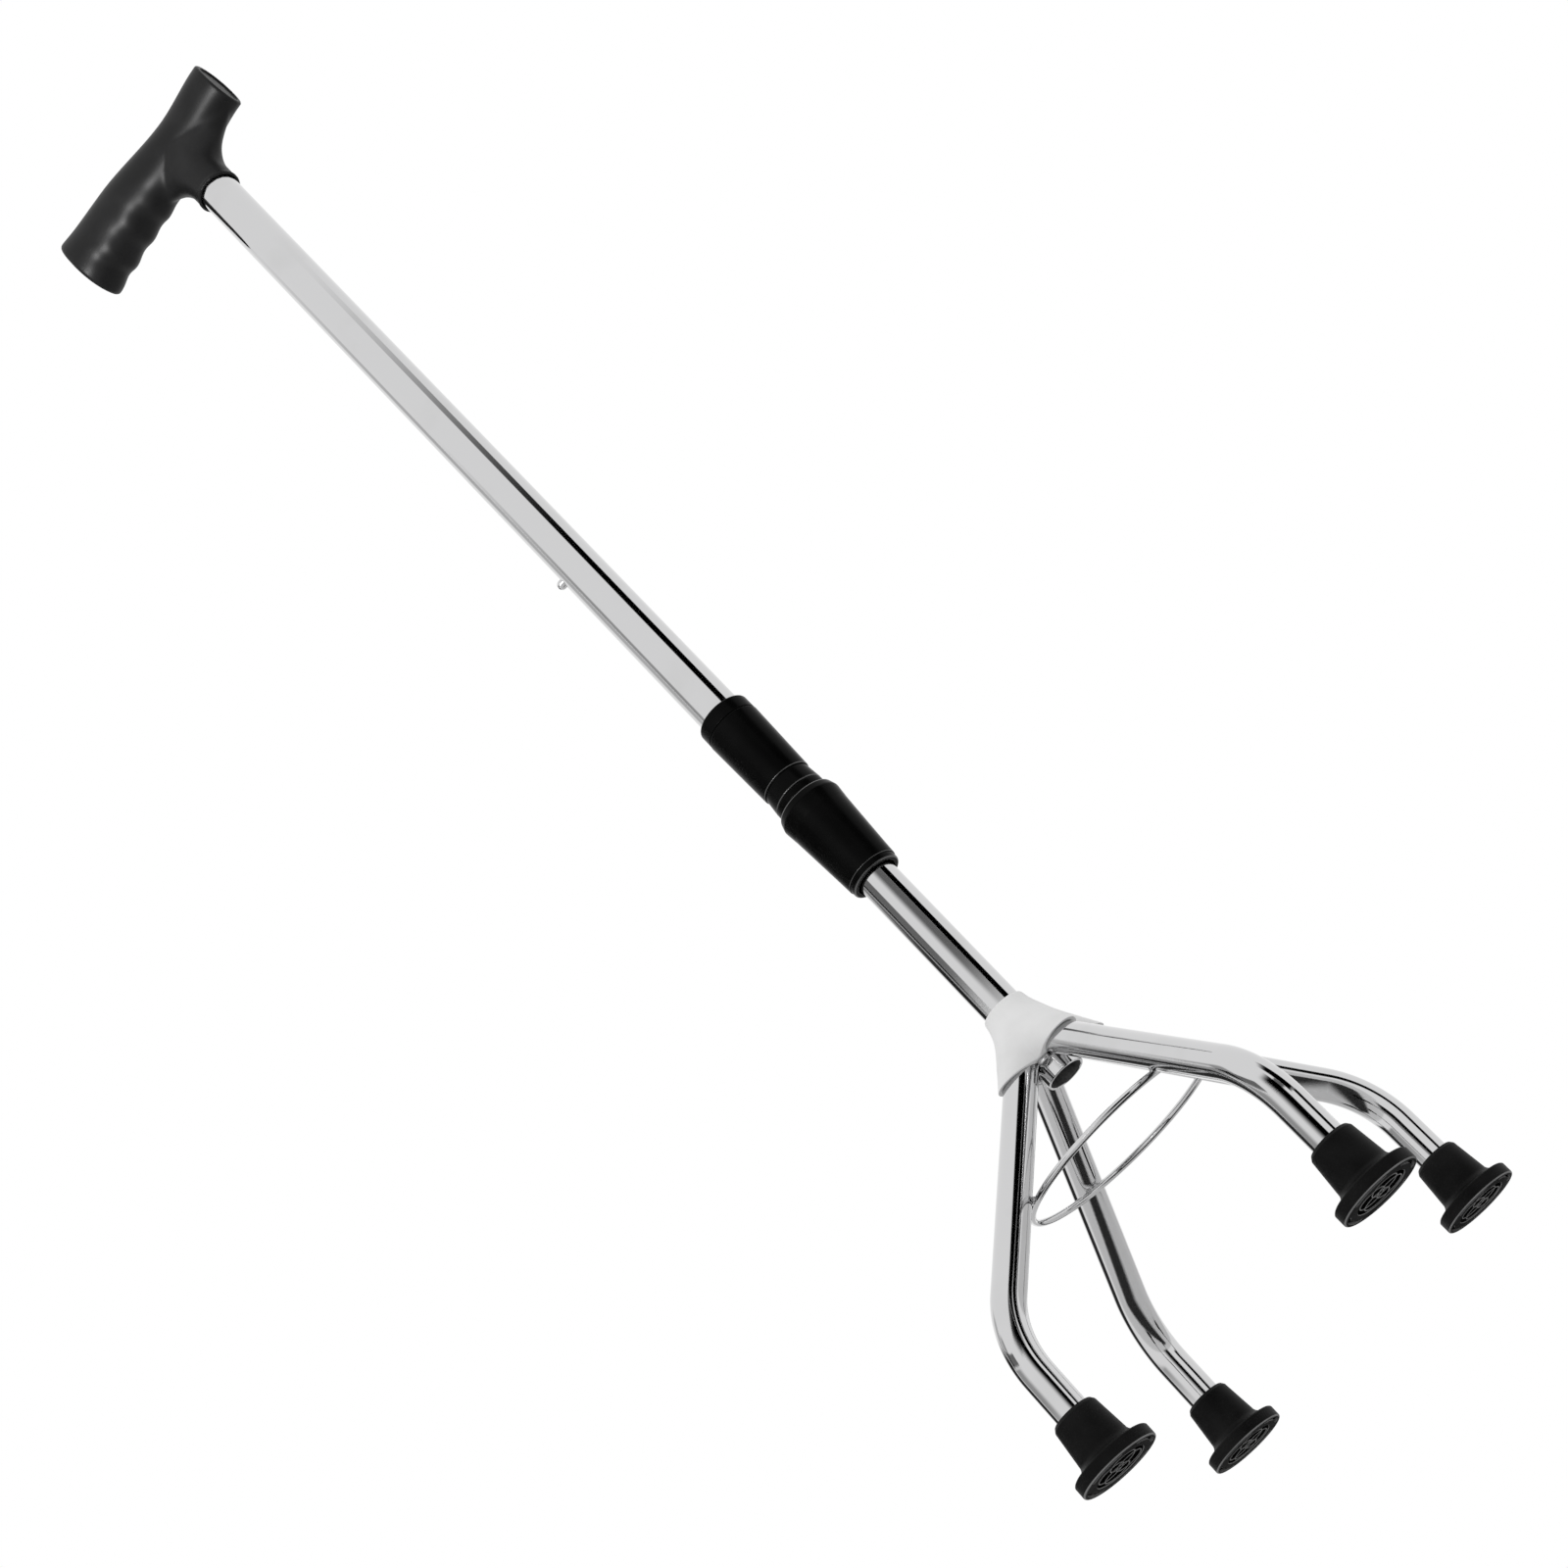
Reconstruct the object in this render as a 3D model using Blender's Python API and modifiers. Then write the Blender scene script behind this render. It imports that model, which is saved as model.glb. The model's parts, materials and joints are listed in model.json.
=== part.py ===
"""Quad cane: a telescopic tube cane with a T handle, a screw collar, a snap button and a four-legged base.

Metres, +Z up. The origin is on the floor, on the axis of the tubes. +X points to the handle's nose.
"""
import math

import bmesh
import bpy
from mathutils import Matrix, Vector

MM = 0.001

# Tubes
LOWER_TUBE_DIA = 19.2 * MM
LOWER_TUBE_WALL = 1.2 * MM
LOWER_TUBE_LENGTH = 393.4 * MM
UPPER_TUBE_WALL = 1.2 * MM
UPPER_TUBE_LENGTH = 533.5 * MM
SLIDE_GAP = 0.3 * MM
FIT_GAP = 0.3 * MM
STUB_LENGTH = 9.3 * MM
PLUG_FLANGE = 1.5 * MM
PLUG_SPIGOT = 10.0 * MM
PLUG_WALL = 1.6 * MM

# Height setting
COLLAR_HEIGHT = 277.0 * MM
HOLE_PITCH = 25.0 * MM
HOLES_EACH_WAY = 3

# Snap button and its spring
BUTTON_DIA = 5.2 * MM
BUTTON_REACH = 5.4 * MM
BUTTON_FROM_TOP = 34.0 * MM
BUTTON_FLANGE_DIA = 6.8 * MM
BUTTON_FLANGE = 0.8 * MM
BUTTON_RIVET_DIA = 2.8 * MM
BUTTON_HEAD_DIA = 4.8 * MM
BUTTON_HEAD = 0.8 * MM
STRIP_THICKNESS = 0.6 * MM
STRIP_WIDTH = 6.0 * MM
STRIP_ABOVE_BUTTON = 7.5 * MM
STRIP_BELOW_BUTTON = 34.0 * MM

# Collar: nut, split bush, stop ring, sleeve and cap
NUT_HEIGHT = 51.7 * MM
NUT_BASE_WALL = 1.2 * MM
NUT_SHOULDER_WALL = 4.05 * MM
NUT_LIP = 3.2 * MM
NUT_LIP_STEP = 0.5 * MM
NUT_MOUTH_GAP = 0.9 * MM
NUT_SHOULDER = 4.5 * MM
NECK_WALL = 1.8 * MM
BUSH_HEIGHT = 20.2 * MM
BUSH_TAPER_HEIGHT = 13.7 * MM
BUSH_WALL = 2.1 * MM
BUSH_TIP_WALL = 1.15 * MM
BUSH_SLOT = 1.2 * MM
BUSH_SLOT_HEIGHT = 14.5 * MM
STOP_RING_HEIGHT = 4.0 * MM
STOP_RING_WALL = 1.05 * MM
WAIST_HEIGHT = 9.4 * MM
WAIST_TAPER = 0.8 * MM
SLEEVE_HEIGHT = 40.2 * MM
SLEEVE_WALL = 1.75 * MM
SLEEVE_TOP_WALL = 2.7 * MM
TUBE_SEAT_DEPTH = 6.6 * MM
CAP_HEIGHT = 8.0 * MM
CAP_WALL = 2.5 * MM

# Handle, in the plane of the tubes
SOCKET_DEPTH = 28.6 * MM
SOCKET_WALL = 1.1 * MM
SOCKET_RIM = 0.45 * MM
SOCKET_RIM_HEIGHT = 2.0 * MM
HANDLE_RISE = 15.5 * MM
HANDLE_REAR = 85.2 * MM
HANDLE_NOSE = 42.0 * MM
REAR_HEIGHT = 43.2 * MM
HEEL_HEIGHT = 41.4 * MM
GRIP_HEIGHT = 40.2 * MM
SADDLE_HEIGHT = 33.4 * MM
NOSE_HEIGHT = 33.4 * MM
HANDLE_FLATNESS = 0.79
REAR_DROP = 1.7 * MM
HEEL_DROP = 1.2 * MM
NOSE_LIFT = 4.6 * MM
HEEL_FROM_REAR = 14.5 * MM
GRIP_FROM_REAR = 39.5 * MM
REAR_ROUNDING = 2.2 * MM
NOSE_ROUNDING = 1.2 * MM
FINGER_PITCH = 17.0 * MM
FINGER_DEPTH = 2.0 * MM
THROAT_REACH_REAR = 15.0 * MM
THROAT_HEIGHT_REAR = 18.0 * MM
THROAT_REACH_NOSE = 30.0 * MM
THROAT_HEIGHT_NOSE = 21.0 * MM
THROAT_OVERLAP = 0.6 * MM
THROAT_PINCH = 0.7
NOSE_RIM = 3.2 * MM
NOSE_RECESS = 1.0 * MM

# Base
LEG_MEETING_HEIGHT = 176.2 * MM
LEG_ANGLE = math.radians(45.0)
LEG_DIA = 15.0 * MM
LEG_WALL = 1.2 * MM
LEG_BEND_RADIUS = 48.0 * MM
FOOT_SPREAD_X = 74.0 * MM
FOOT_SPREAD_Y = 80.0 * MM
MITRE_GAP = 0.3 * MM
HUB_ABOVE = 13.6 * MM
HUB_BELOW = 18.3 * MM
HUB_TOP_WALL = 1.1 * MM
HUB_CONE_FLARE = 3.0 * MM
HUB_SKIRT_FLARE = 4.0 * MM
HUB_LOBE_WALL = 2.3 * MM
HUB_LOBE_SWELL = 3.8 * MM
HUB_BLEND = 9.0

# Brace ring
RING_WIRE_DIA = 3.2 * MM
RING_RADIUS = 51.9 * MM
RING_TILT = math.radians(5.1)

# Feet
FOOT_HEIGHT = 27.6 * MM
FOOT_FLANGE_DIA = 37.4 * MM
FOOT_FLANGE_HEIGHT = 5.8 * MM
FOOT_FLARE_HEIGHT = 4.9 * MM
FOOT_NECK_WALL = 4.2 * MM
FOOT_LIP_WALL = 2.7 * MM
FOOT_LIP_CHAMFER = 1.6 * MM
FOOT_SOLE = 6.5 * MM
WASHER_THICKNESS = 1.5 * MM
TREAD_DEPTH = 1.2 * MM
TREAD_DIA = 24.0 * MM
TREAD_LOOP_DIA = 12.4 * MM
TREAD_LOOP_OFFSET = 5.0 * MM
TREAD_RIB = 0.9 * MM
TREAD_GROOVE_DIA = 32.4 * MM
TREAD_GROOVE = 1.1 * MM
TREAD_GROOVES = 4

# Sizes that follow from the ones above
SEGMENTS = 36
MOULDED_SEGMENTS = 26
lower_r = LOWER_TUBE_DIA / 2
lower_bore = lower_r - LOWER_TUBE_WALL
upper_bore = lower_r + SLIDE_GAP
upper_r = upper_bore + UPPER_TUBE_WALL
sleeve_bore = upper_r + FIT_GAP
leg_r = LEG_DIA / 2
hub_bottom = LEG_MEETING_HEIGHT - HUB_BELOW
hub_top = LEG_MEETING_HEIGHT + HUB_ABOVE
lower_bottom = hub_bottom - STUB_LENGTH
lower_top = lower_bottom + LOWER_TUBE_LENGTH
button_height = lower_top - BUTTON_FROM_TOP
nut_top = COLLAR_HEIGHT + NUT_HEIGHT
stop_bottom = nut_top + FIT_GAP
waist_bottom = stop_bottom + STOP_RING_HEIGHT + FIT_GAP
sleeve_bottom = waist_bottom + WAIST_HEIGHT
upper_bottom = sleeve_bottom - TUBE_SEAT_DEPTH + FIT_GAP
upper_top = upper_bottom + UPPER_TUBE_LENGTH
socket_bottom = upper_top - SOCKET_DEPTH
handle_centre = upper_top + HANDLE_RISE
foot_radius = math.hypot(FOOT_SPREAD_X, FOOT_SPREAD_Y)
foot_azimuth = math.atan2(FOOT_SPREAD_Y, FOOT_SPREAD_X)


def clear_scene():
    for old in list(bpy.data.objects):
        bpy.data.objects.remove(old, do_unlink=True)
    for old in list(bpy.data.meshes):
        bpy.data.meshes.remove(old)
    for old in list(bpy.data.curves):
        bpy.data.curves.remove(old)


clear_scene()
model = bpy.data.collections.new("quad_cane")
cutters = bpy.data.collections.new("quad_cane_cutters")
bpy.context.scene.collection.children.link(model)
bpy.context.scene.collection.children.link(cutters)


def material(name, colour, roughness, metallic):
    mat = bpy.data.materials.new(name)
    mat.use_nodes = True
    mat.diffuse_color = (*colour, 1.0)
    shader = mat.node_tree.nodes["Principled BSDF"]
    shader.inputs["Base Color"].default_value = (*colour, 1.0)
    shader.inputs["Roughness"].default_value = roughness
    shader.inputs["Metallic"].default_value = metallic
    return mat


def link(obj, cutter=False):
    (cutters if cutter else model).objects.link(obj)
    if cutter:
        obj.hide_render = True
        obj.display_type = "WIRE"
    return obj


def mesh_object(name, bm, cutter=False):
    mesh = bpy.data.meshes.new(name)
    bm.to_mesh(mesh)
    bm.free()
    return link(bpy.data.objects.new(name, mesh), cutter)


def bake(obj, angle=35.0):
    """Replace an object's mesh with its evaluated one and shade it smooth, with its hard edges kept sharp."""
    bpy.context.view_layer.update()
    graph = bpy.context.evaluated_depsgraph_get()
    mesh = bpy.data.meshes.new_from_object(obj.evaluated_get(graph))
    obj.modifiers.clear()
    obj.data = mesh
    mesh.name = obj.name
    mesh.shade_smooth()
    mesh.set_sharp_from_angle(angle=math.radians(angle))
    return obj


def turned(name, profile, place=(0, 0, 0), steps=SEGMENTS, ring=True, cutter=False):
    """Turn a profile of (radius, height) points, listed down its outer side, about the local Z axis."""
    bm = bmesh.new()
    verts = [bm.verts.new((r, 0, z)) for r, z in profile]
    pairs = list(zip(verts, verts[1:]))
    if ring:
        pairs.append((verts[-1], verts[0]))
    for a, b in pairs:
        bm.edges.new((a, b))
    obj = mesh_object(name, bm, cutter)
    screw = obj.modifiers.new("Screw", "SCREW")
    screw.axis = "Z"
    screw.angle = math.tau
    screw.steps = steps
    screw.render_steps = steps
    screw.use_merge_vertices = True
    screw.merge_threshold = 0.00001
    screw.use_smooth_shade = True
    obj.location = place
    return bake(obj)


def cylinder(name, radius, low, high, place=(0, 0, 0), steps=SEGMENTS):
    """A plain cylinder along the local Z axis, from low to high, that cuts another piece."""
    bm = bmesh.new()
    bmesh.ops.create_cone(bm, cap_ends=True, segments=steps, radius1=radius, radius2=radius, depth=high - low)
    bmesh.ops.translate(bm, verts=bm.verts, vec=(0, 0, (low + high) / 2))
    obj = mesh_object(name, bm, cutter=True)
    obj.location = place
    return obj


def block(name, low, high):
    """A box between two corners that cuts another piece."""
    bm = bmesh.new()
    bmesh.ops.create_cube(bm, size=1.0)
    size = [h - l for l, h in zip(low, high)]
    bmesh.ops.scale(bm, verts=bm.verts, vec=size)
    bmesh.ops.translate(bm, verts=bm.verts, vec=[(l + h) / 2 for l, h in zip(low, high)])
    return mesh_object(name, bm, cutter=True)


def boolean(obj, operation, *tools):
    for tool in tools:
        modifier = obj.modifiers.new(operation.title(), "BOOLEAN")
        modifier.operation = operation
        modifier.solver = "EXACT"
        modifier.object = tool
    return bake(obj)


def curve_mesh(name, curve, cutter=False):
    """Make a curve's evaluated mesh an object of its own, with its caps welded on."""
    source = link(bpy.data.objects.new(name + "_curve", curve), cutter=True)
    bpy.context.view_layer.update()
    graph = bpy.context.evaluated_depsgraph_get()
    mesh = bpy.data.meshes.new_from_object(source.evaluated_get(graph))
    bm = bmesh.new()
    bm.from_mesh(mesh)
    bmesh.ops.remove_doubles(bm, verts=bm.verts, dist=0.000005)
    bmesh.ops.recalc_face_normals(bm, faces=bm.faces)
    bm.to_mesh(mesh)
    bm.free()
    obj = link(bpy.data.objects.new(name, mesh), cutter)
    obj.matrix_world = source.matrix_world
    bpy.data.objects.remove(source, do_unlink=True)
    return obj


def rod(name, points, radius, resolution=8, cutter=False):
    """A solid round bar along a line of points."""
    curve = bpy.data.curves.new(name, "CURVE")
    curve.dimensions = "3D"
    curve.bevel_depth = radius
    curve.bevel_resolution = resolution
    curve.use_fill_caps = True
    spline = curve.splines.new("POLY")
    spline.points.add(len(points) - 1)
    for point, place in zip(spline.points, points):
        point.co = (*place, 1.0)
    return curve_mesh(name, curve, cutter)


def flat(name, outline, thickness):
    """A flat outline in the local XY plane, with half of its thickness on each side."""
    curve = bpy.data.curves.new(name, "CURVE")
    curve.dimensions = "2D"
    curve.fill_mode = "BOTH"
    curve.extrude = thickness / 2
    spline = curve.splines.new("POLY")
    spline.points.add(len(outline) - 1)
    spline.use_cyclic_u = True
    for point, (x, y) in zip(spline.points, outline):
        point.co = (x, y, 0.0, 1.0)
    return curve_mesh(name, curve)


def loft(name, rings, cutter=False):
    """Skin a row of closed rings with as many points each, and cap both ends."""
    bm = bmesh.new()
    rows = [[bm.verts.new(p) for p in ring] for ring in rings]
    count = len(rows[0])
    for a, b in zip(rows, rows[1:]):
        for i in range(count):
            j = (i + 1) % count
            bm.faces.new((a[i], a[j], b[j], b[i]))
    bm.faces.new(list(reversed(rows[0])))
    bm.faces.new(rows[-1])
    bmesh.ops.recalc_face_normals(bm, faces=bm.faces)
    return mesh_object(name, bm, cutter)


def paint(mat, *objects):
    for obj in objects:
        obj.data.materials.clear()
        obj.data.materials.append(mat)


def smooth(t):
    t = min(max(t, 0.0), 1.0)
    return t * t * (3 - 2 * t)


def arc(centre, radius, start, end, count):
    """Points of an arc in a plane, with its angles in degrees."""
    turns = [math.radians(start + (end - start) * i / count) for i in range(count + 1)]
    return [(centre[0] + radius * math.cos(t), centre[1] + radius * math.sin(t)) for t in turns]


# Lower tube, open at its stub end, with the button's hole on its -X side
lower_tube = turned("lower_tube", [
    (lower_r, LOWER_TUBE_LENGTH),
    (lower_r, 0),
    (lower_bore, 0),
    (lower_bore, LOWER_TUBE_LENGTH),
], (0, 0, lower_bottom))
hole_r = BUTTON_DIA / 2 + FIT_GAP


def side_hole(name, height):
    drill = cylinder(name, hole_r, 0, 2 * upper_r, (0, 0, height), 12)
    drill.rotation_euler = (0, -math.pi / 2, 0)
    return drill


boolean(lower_tube, "DIFFERENCE", side_hole("cut_lower_hole", button_height))

# Plug in the top of the lower tube
spigot_r = lower_bore - FIT_GAP
tube_plug = turned("tube_plug", [
    (0, PLUG_FLANGE),
    (lower_r - 0.6 * MM, PLUG_FLANGE),
    (lower_r, PLUG_FLANGE - 0.6 * MM),
    (lower_r, 0),
    (spigot_r, 0),
    (spigot_r, -PLUG_SPIGOT),
    (spigot_r - PLUG_WALL, -PLUG_SPIGOT),
    (spigot_r - PLUG_WALL, 0),
    (0, 0),
], (0, 0, lower_top + FIT_GAP), 20, ring=False)

# Upper tube, with its row of height holes in line with the button
upper_tube = turned("outer_tube", [
    (upper_r, UPPER_TUBE_LENGTH),
    (upper_r, 0),
    (upper_bore, 0),
    (upper_bore, UPPER_TUBE_LENGTH),
], (0, 0, upper_bottom))
boolean(upper_tube, "DIFFERENCE", *[
    side_hole(f"cut_height_hole_{n + HOLES_EACH_WAY}", button_height + n * HOLE_PITCH)
    for n in range(-HOLES_EACH_WAY, HOLES_EACH_WAY + 1)
])

# Snap button: a domed pin with a flange behind the wall, riveted through its spring leaf.
# Its local Z axis is the button's axis, measured outwards from the middle of the tube.
button_r = BUTTON_DIA / 2
flange_r = BUTTON_FLANGE_DIA / 2
rivet_r = BUTTON_RIVET_DIA / 2
button_tip = lower_r + BUTTON_REACH
flange_out = math.sqrt(lower_bore ** 2 - flange_r ** 2) - 1.5 * FIT_GAP
flange_in = flange_out - BUTTON_FLANGE
leaf_out = flange_in - FIT_GAP
leaf_in = leaf_out - STRIP_THICKNESS
head_out = leaf_in - FIT_GAP
head_in = head_out - BUTTON_HEAD
dome = arc((0, button_tip - button_r), button_r, 90, 0, 5)
snap_button = turned("snap_button", dome + [
    (button_r, flange_out),
    (flange_r, flange_out),
    (flange_r, flange_in),
    (rivet_r, flange_in),
    (rivet_r, head_out),
    (BUTTON_HEAD_DIA / 2, head_out),
    (BUTTON_HEAD_DIA / 2, head_in),
    (0, head_in),
], (0, 0, button_height), 14, ring=False)
snap_button.rotation_euler = (0, -math.pi / 2, 0)

# Spring: the leaf that carries the button, and the bent strip that bears on the far wall
strip_low = button_height - STRIP_BELOW_BUTTON
strip_high = button_height + STRIP_ABOVE_BUTTON
far_out = math.sqrt(lower_bore ** 2 - (STRIP_WIDTH / 2) ** 2) - 1.5 * FIT_GAP
far_in = far_out - STRIP_THICKNESS
button_leaf = flat("button_leaf", [
    (-leaf_out, strip_low),
    (-leaf_in, strip_low),
    (-leaf_in, strip_high),
    (-leaf_out, strip_high),
], STRIP_WIDTH)
bend_x = (far_out - leaf_out) / 2
bend_z = strip_low - FIT_GAP
bend_out = (far_out + leaf_out) / 2
spring_clip = flat("spring_clip", [
    (far_out, strip_high),
    (far_in, strip_high),
] + arc((bend_x, bend_z), bend_out - STRIP_THICKNESS, 0, -180, 14)
    + arc((bend_x, bend_z), bend_out, -180, 0, 14), STRIP_WIDTH)
for strip in (button_leaf, spring_clip):
    strip.rotation_euler = (math.pi / 2, 0, 0)
leaf_hole = cylinder("cut_leaf_hole", rivet_r + FIT_GAP, 0, 2 * lower_r, (0, 0, button_height), 16)
leaf_hole.rotation_euler = (0, -math.pi / 2, 0)
boolean(button_leaf, "DIFFERENCE", leaf_hole)

# Collar sleeve: a moulded neck for the nut, a waist, and a barrel round the end of the upper tube
neck_bore = lower_r + 2 * FIT_GAP
neck_r = neck_bore + NECK_WALL
stop_bore = neck_r + FIT_GAP
waist_r = stop_bore + STOP_RING_WALL
bush_bottom = COLLAR_HEIGHT + NUT_LIP + FIT_GAP
neck_bottom = bush_bottom + BUSH_HEIGHT + FIT_GAP
barrel_low_r = sleeve_bore + SLEEVE_WALL
barrel_top_r = sleeve_bore + SLEEVE_TOP_WALL
sleeve_top = sleeve_bottom + SLEEVE_HEIGHT
seat = sleeve_bottom - TUBE_SEAT_DEPTH
collar_sleeve = turned("collar_sleeve", [
    (barrel_top_r - 0.5 * MM, sleeve_top - neck_bottom),
    (barrel_top_r, sleeve_top - 0.8 * MM - neck_bottom),
    (barrel_low_r, sleeve_bottom + 0.5 * MM - neck_bottom),
    (barrel_low_r - 0.5 * MM, sleeve_bottom - neck_bottom),
    (waist_r - WAIST_TAPER - 0.3 * MM, sleeve_bottom - neck_bottom),
    (waist_r - WAIST_TAPER, sleeve_bottom - 0.6 * MM - neck_bottom),
    (waist_r, waist_bottom + 0.6 * MM - neck_bottom),
    (waist_r - 0.5 * MM, waist_bottom - neck_bottom),
    (neck_r, waist_bottom - neck_bottom),
    (neck_r, 0),
    (neck_bore, 0),
    (neck_bore, seat - neck_bottom),
    (sleeve_bore, seat - neck_bottom),
    (sleeve_bore, sleeve_top - neck_bottom),
], (0, 0, neck_bottom), MOULDED_SEGMENTS)

# Cap that closes the top of the sleeve
cap_r = sleeve_bore + CAP_WALL
collar_cap = turned("collar_cap", [
    (sleeve_bore, CAP_HEIGHT),
    (cap_r - 2.0 * MM, CAP_HEIGHT),
    (cap_r - 0.7 * MM, CAP_HEIGHT - 0.5 * MM),
    (cap_r, CAP_HEIGHT - 1.8 * MM),
    (cap_r, 0.7 * MM),
    (cap_r - 0.5 * MM, 0),
    (sleeve_bore, 0),
], (0, 0, sleeve_top + FIT_GAP), MOULDED_SEGMENTS)

# Stop ring between the nut and the waist
stop_ring = turned("stop_ring", [
    (waist_r - 0.4 * MM, STOP_RING_HEIGHT),
    (waist_r, STOP_RING_HEIGHT - 0.4 * MM),
    (waist_r, 0.4 * MM),
    (waist_r - 0.4 * MM, 0),
    (stop_bore, 0),
    (stop_bore, STOP_RING_HEIGHT),
], (0, 0, stop_bottom), MOULDED_SEGMENTS)

# Split bush that the nut squeezes on the lower tube
bush_bore = lower_r + SLIDE_GAP
bush_r = bush_bore + BUSH_WALL
bush_tip_r = bush_bore + BUSH_TIP_WALL
collet_bush = turned("collet_bush", [
    (bush_r, BUSH_HEIGHT),
    (bush_r, BUSH_TAPER_HEIGHT),
    (bush_tip_r, 0),
    (bush_bore, 0),
    (bush_bore, BUSH_HEIGHT),
], (0, 0, bush_bottom), MOULDED_SEGMENTS)
slot_reach = 1.5 * bush_r
slot_low = bush_bottom - BUSH_SLOT
slot_high = bush_bottom + BUSH_SLOT_HEIGHT
slot_x = block("cut_bush_slot_x", (-slot_reach, -BUSH_SLOT / 2, slot_low), (slot_reach, BUSH_SLOT / 2, slot_high))
slot_y = block("cut_bush_slot_y", (-BUSH_SLOT / 2, -slot_reach, slot_low), (BUSH_SLOT / 2, slot_reach, slot_high))
boolean(collet_bush, "DIFFERENCE", slot_x, slot_y)

# Lock nut: a long cone, narrow at the lip, with the bush's taper inside
nut_bore = max(neck_r, bush_r) + FIT_GAP
nut_mouth = lower_r + NUT_MOUTH_GAP
nut_base_r = nut_bore + NUT_BASE_WALL
nut_shoulder_r = nut_bore + NUT_SHOULDER_WALL
shoulder_low = NUT_HEIGHT - NUT_SHOULDER
lock_nut = turned("lock_nut", [
    (nut_bore + 1.2 * MM, NUT_HEIGHT),
    (nut_shoulder_r - 1.6 * MM, NUT_HEIGHT - 0.3 * MM),
    (nut_shoulder_r - 0.5 * MM, NUT_HEIGHT - 1.6 * MM),
    (nut_shoulder_r, shoulder_low),
    (nut_shoulder_r - 0.75 * MM, shoulder_low - 7.5 * MM),
    (nut_base_r + 0.3 * MM, NUT_LIP + 6.0 * MM),
    (nut_base_r, NUT_LIP + 0.4 * MM),
    (nut_base_r - NUT_LIP_STEP, NUT_LIP),
    (nut_base_r - NUT_LIP_STEP, 0.8 * MM),
    (nut_base_r - NUT_LIP_STEP - 0.8 * MM, 0),
    (nut_mouth, 0),
    (nut_mouth, NUT_LIP),
    (bush_tip_r + 1.1 * FIT_GAP, NUT_LIP),
    (nut_bore, NUT_LIP + FIT_GAP + BUSH_TAPER_HEIGHT),
    (nut_bore, NUT_HEIGHT),
], (0, 0, COLLAR_HEIGHT), MOULDED_SEGMENTS)

# Handle: sections run from the rear end to the nose, with finger scallops under the rear grip
heel_x = -HANDLE_REAR + HEEL_FROM_REAR
grip_x = -HANDLE_REAR + GRIP_FROM_REAR
saddle_x = 4.0 * MM
stations = [
    (-HANDLE_REAR, REAR_HEIGHT, -REAR_DROP),
    (heel_x, HEEL_HEIGHT, -HEEL_DROP),
    (grip_x, GRIP_HEIGHT, 0),
    (saddle_x, SADDLE_HEIGHT, 0),
    (HANDLE_NOSE, NOSE_HEIGHT, NOSE_LIFT),
]


def handle_size(x):
    """Half height and centre height of the handle's section at x."""
    for (x0, h0, c0), (x1, h1, c1) in zip(stations, stations[1:]):
        if x <= x1:
            break
    t = smooth((x - x0) / (x1 - x0))
    return (h0 + (h1 - h0) * t) / 2, handle_centre + c0 + (c1 - c0) * t


def handle_section(x, scale=1.0, inset=0.0, points=24):
    """A rounded section of the handle in its YZ plane, with its underside scalloped for the fingers."""
    half, centre = handle_size(x)
    grip = smooth((x + HANDLE_REAR) / FINGER_PITCH) * smooth((-1.4 * upper_r - x) / FINGER_PITCH)
    dip = FINGER_DEPTH * grip * (0.5 + 0.5 * math.cos(math.tau * (x - grip_x - 6.0 * MM) / FINGER_PITCH))
    ring = []
    for i in range(points):
        a = math.tau * i / points
        c, s = math.cos(a), math.sin(a)
        y = math.copysign(abs(c) ** 0.88, c) * half * HANDLE_FLATNESS
        z = math.copysign(abs(s) ** 0.88, s) * half
        shrink = scale * (1 - inset / half)
        under = dip * max(0.0, -s) ** 1.5
        ring.append((x, y * shrink * (1 - 0.5 * under / half), centre + z * shrink + under))
    return ring


body_rings = [handle_section(-HANDLE_REAR, inset=REAR_ROUNDING)]
for i in range(1, 4):
    a = math.radians(90 * i / 3)
    x = -HANDLE_REAR + REAR_ROUNDING * (1 - math.cos(a))
    body_rings.append(handle_section(x, inset=REAR_ROUNDING * (1 - math.sin(a))))
body_count = 20
body_start = -HANDLE_REAR + REAR_ROUNDING
body_end = HANDLE_NOSE - NOSE_ROUNDING
for i in range(1, body_count):
    body_rings.append(handle_section(body_start + (body_end - body_start) * i / body_count))
for i in range(0, 3):
    a = math.radians(90 * i / 2)
    x = body_end + NOSE_ROUNDING * math.sin(a)
    body_rings.append(handle_section(x, inset=NOSE_ROUNDING * (1 - math.cos(a))))
handle_grip = loft("handle_grip", body_rings)

# Neck of the handle: round at the socket's rim and opening into the body through two throats
neck_out = sleeve_bore + SOCKET_WALL


def neck_section(z, front, rear, side, points=24):
    """A level section of the neck, drawn in towards its two ends as far as they reach past the socket's wall."""
    ring = []
    for i in range(points):
        a = math.tau * i / points
        c = math.cos(a)
        reach = front if c > 0 else rear
        pinch = THROAT_PINCH * max(reach - rim_r, 0.0) / reach
        ring.append((reach * c, side * math.sin(a) * (1 - pinch * c * c), z))
    return ring


def throat(reach, height, start, z):
    """How far a throat, a quarter of an ellipse that starts upright, has opened at height z."""
    rise = min(max((z - start) / height, 0.0), 0.97)
    return reach * (1 - math.sqrt(1 - rise ** 2))


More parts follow.
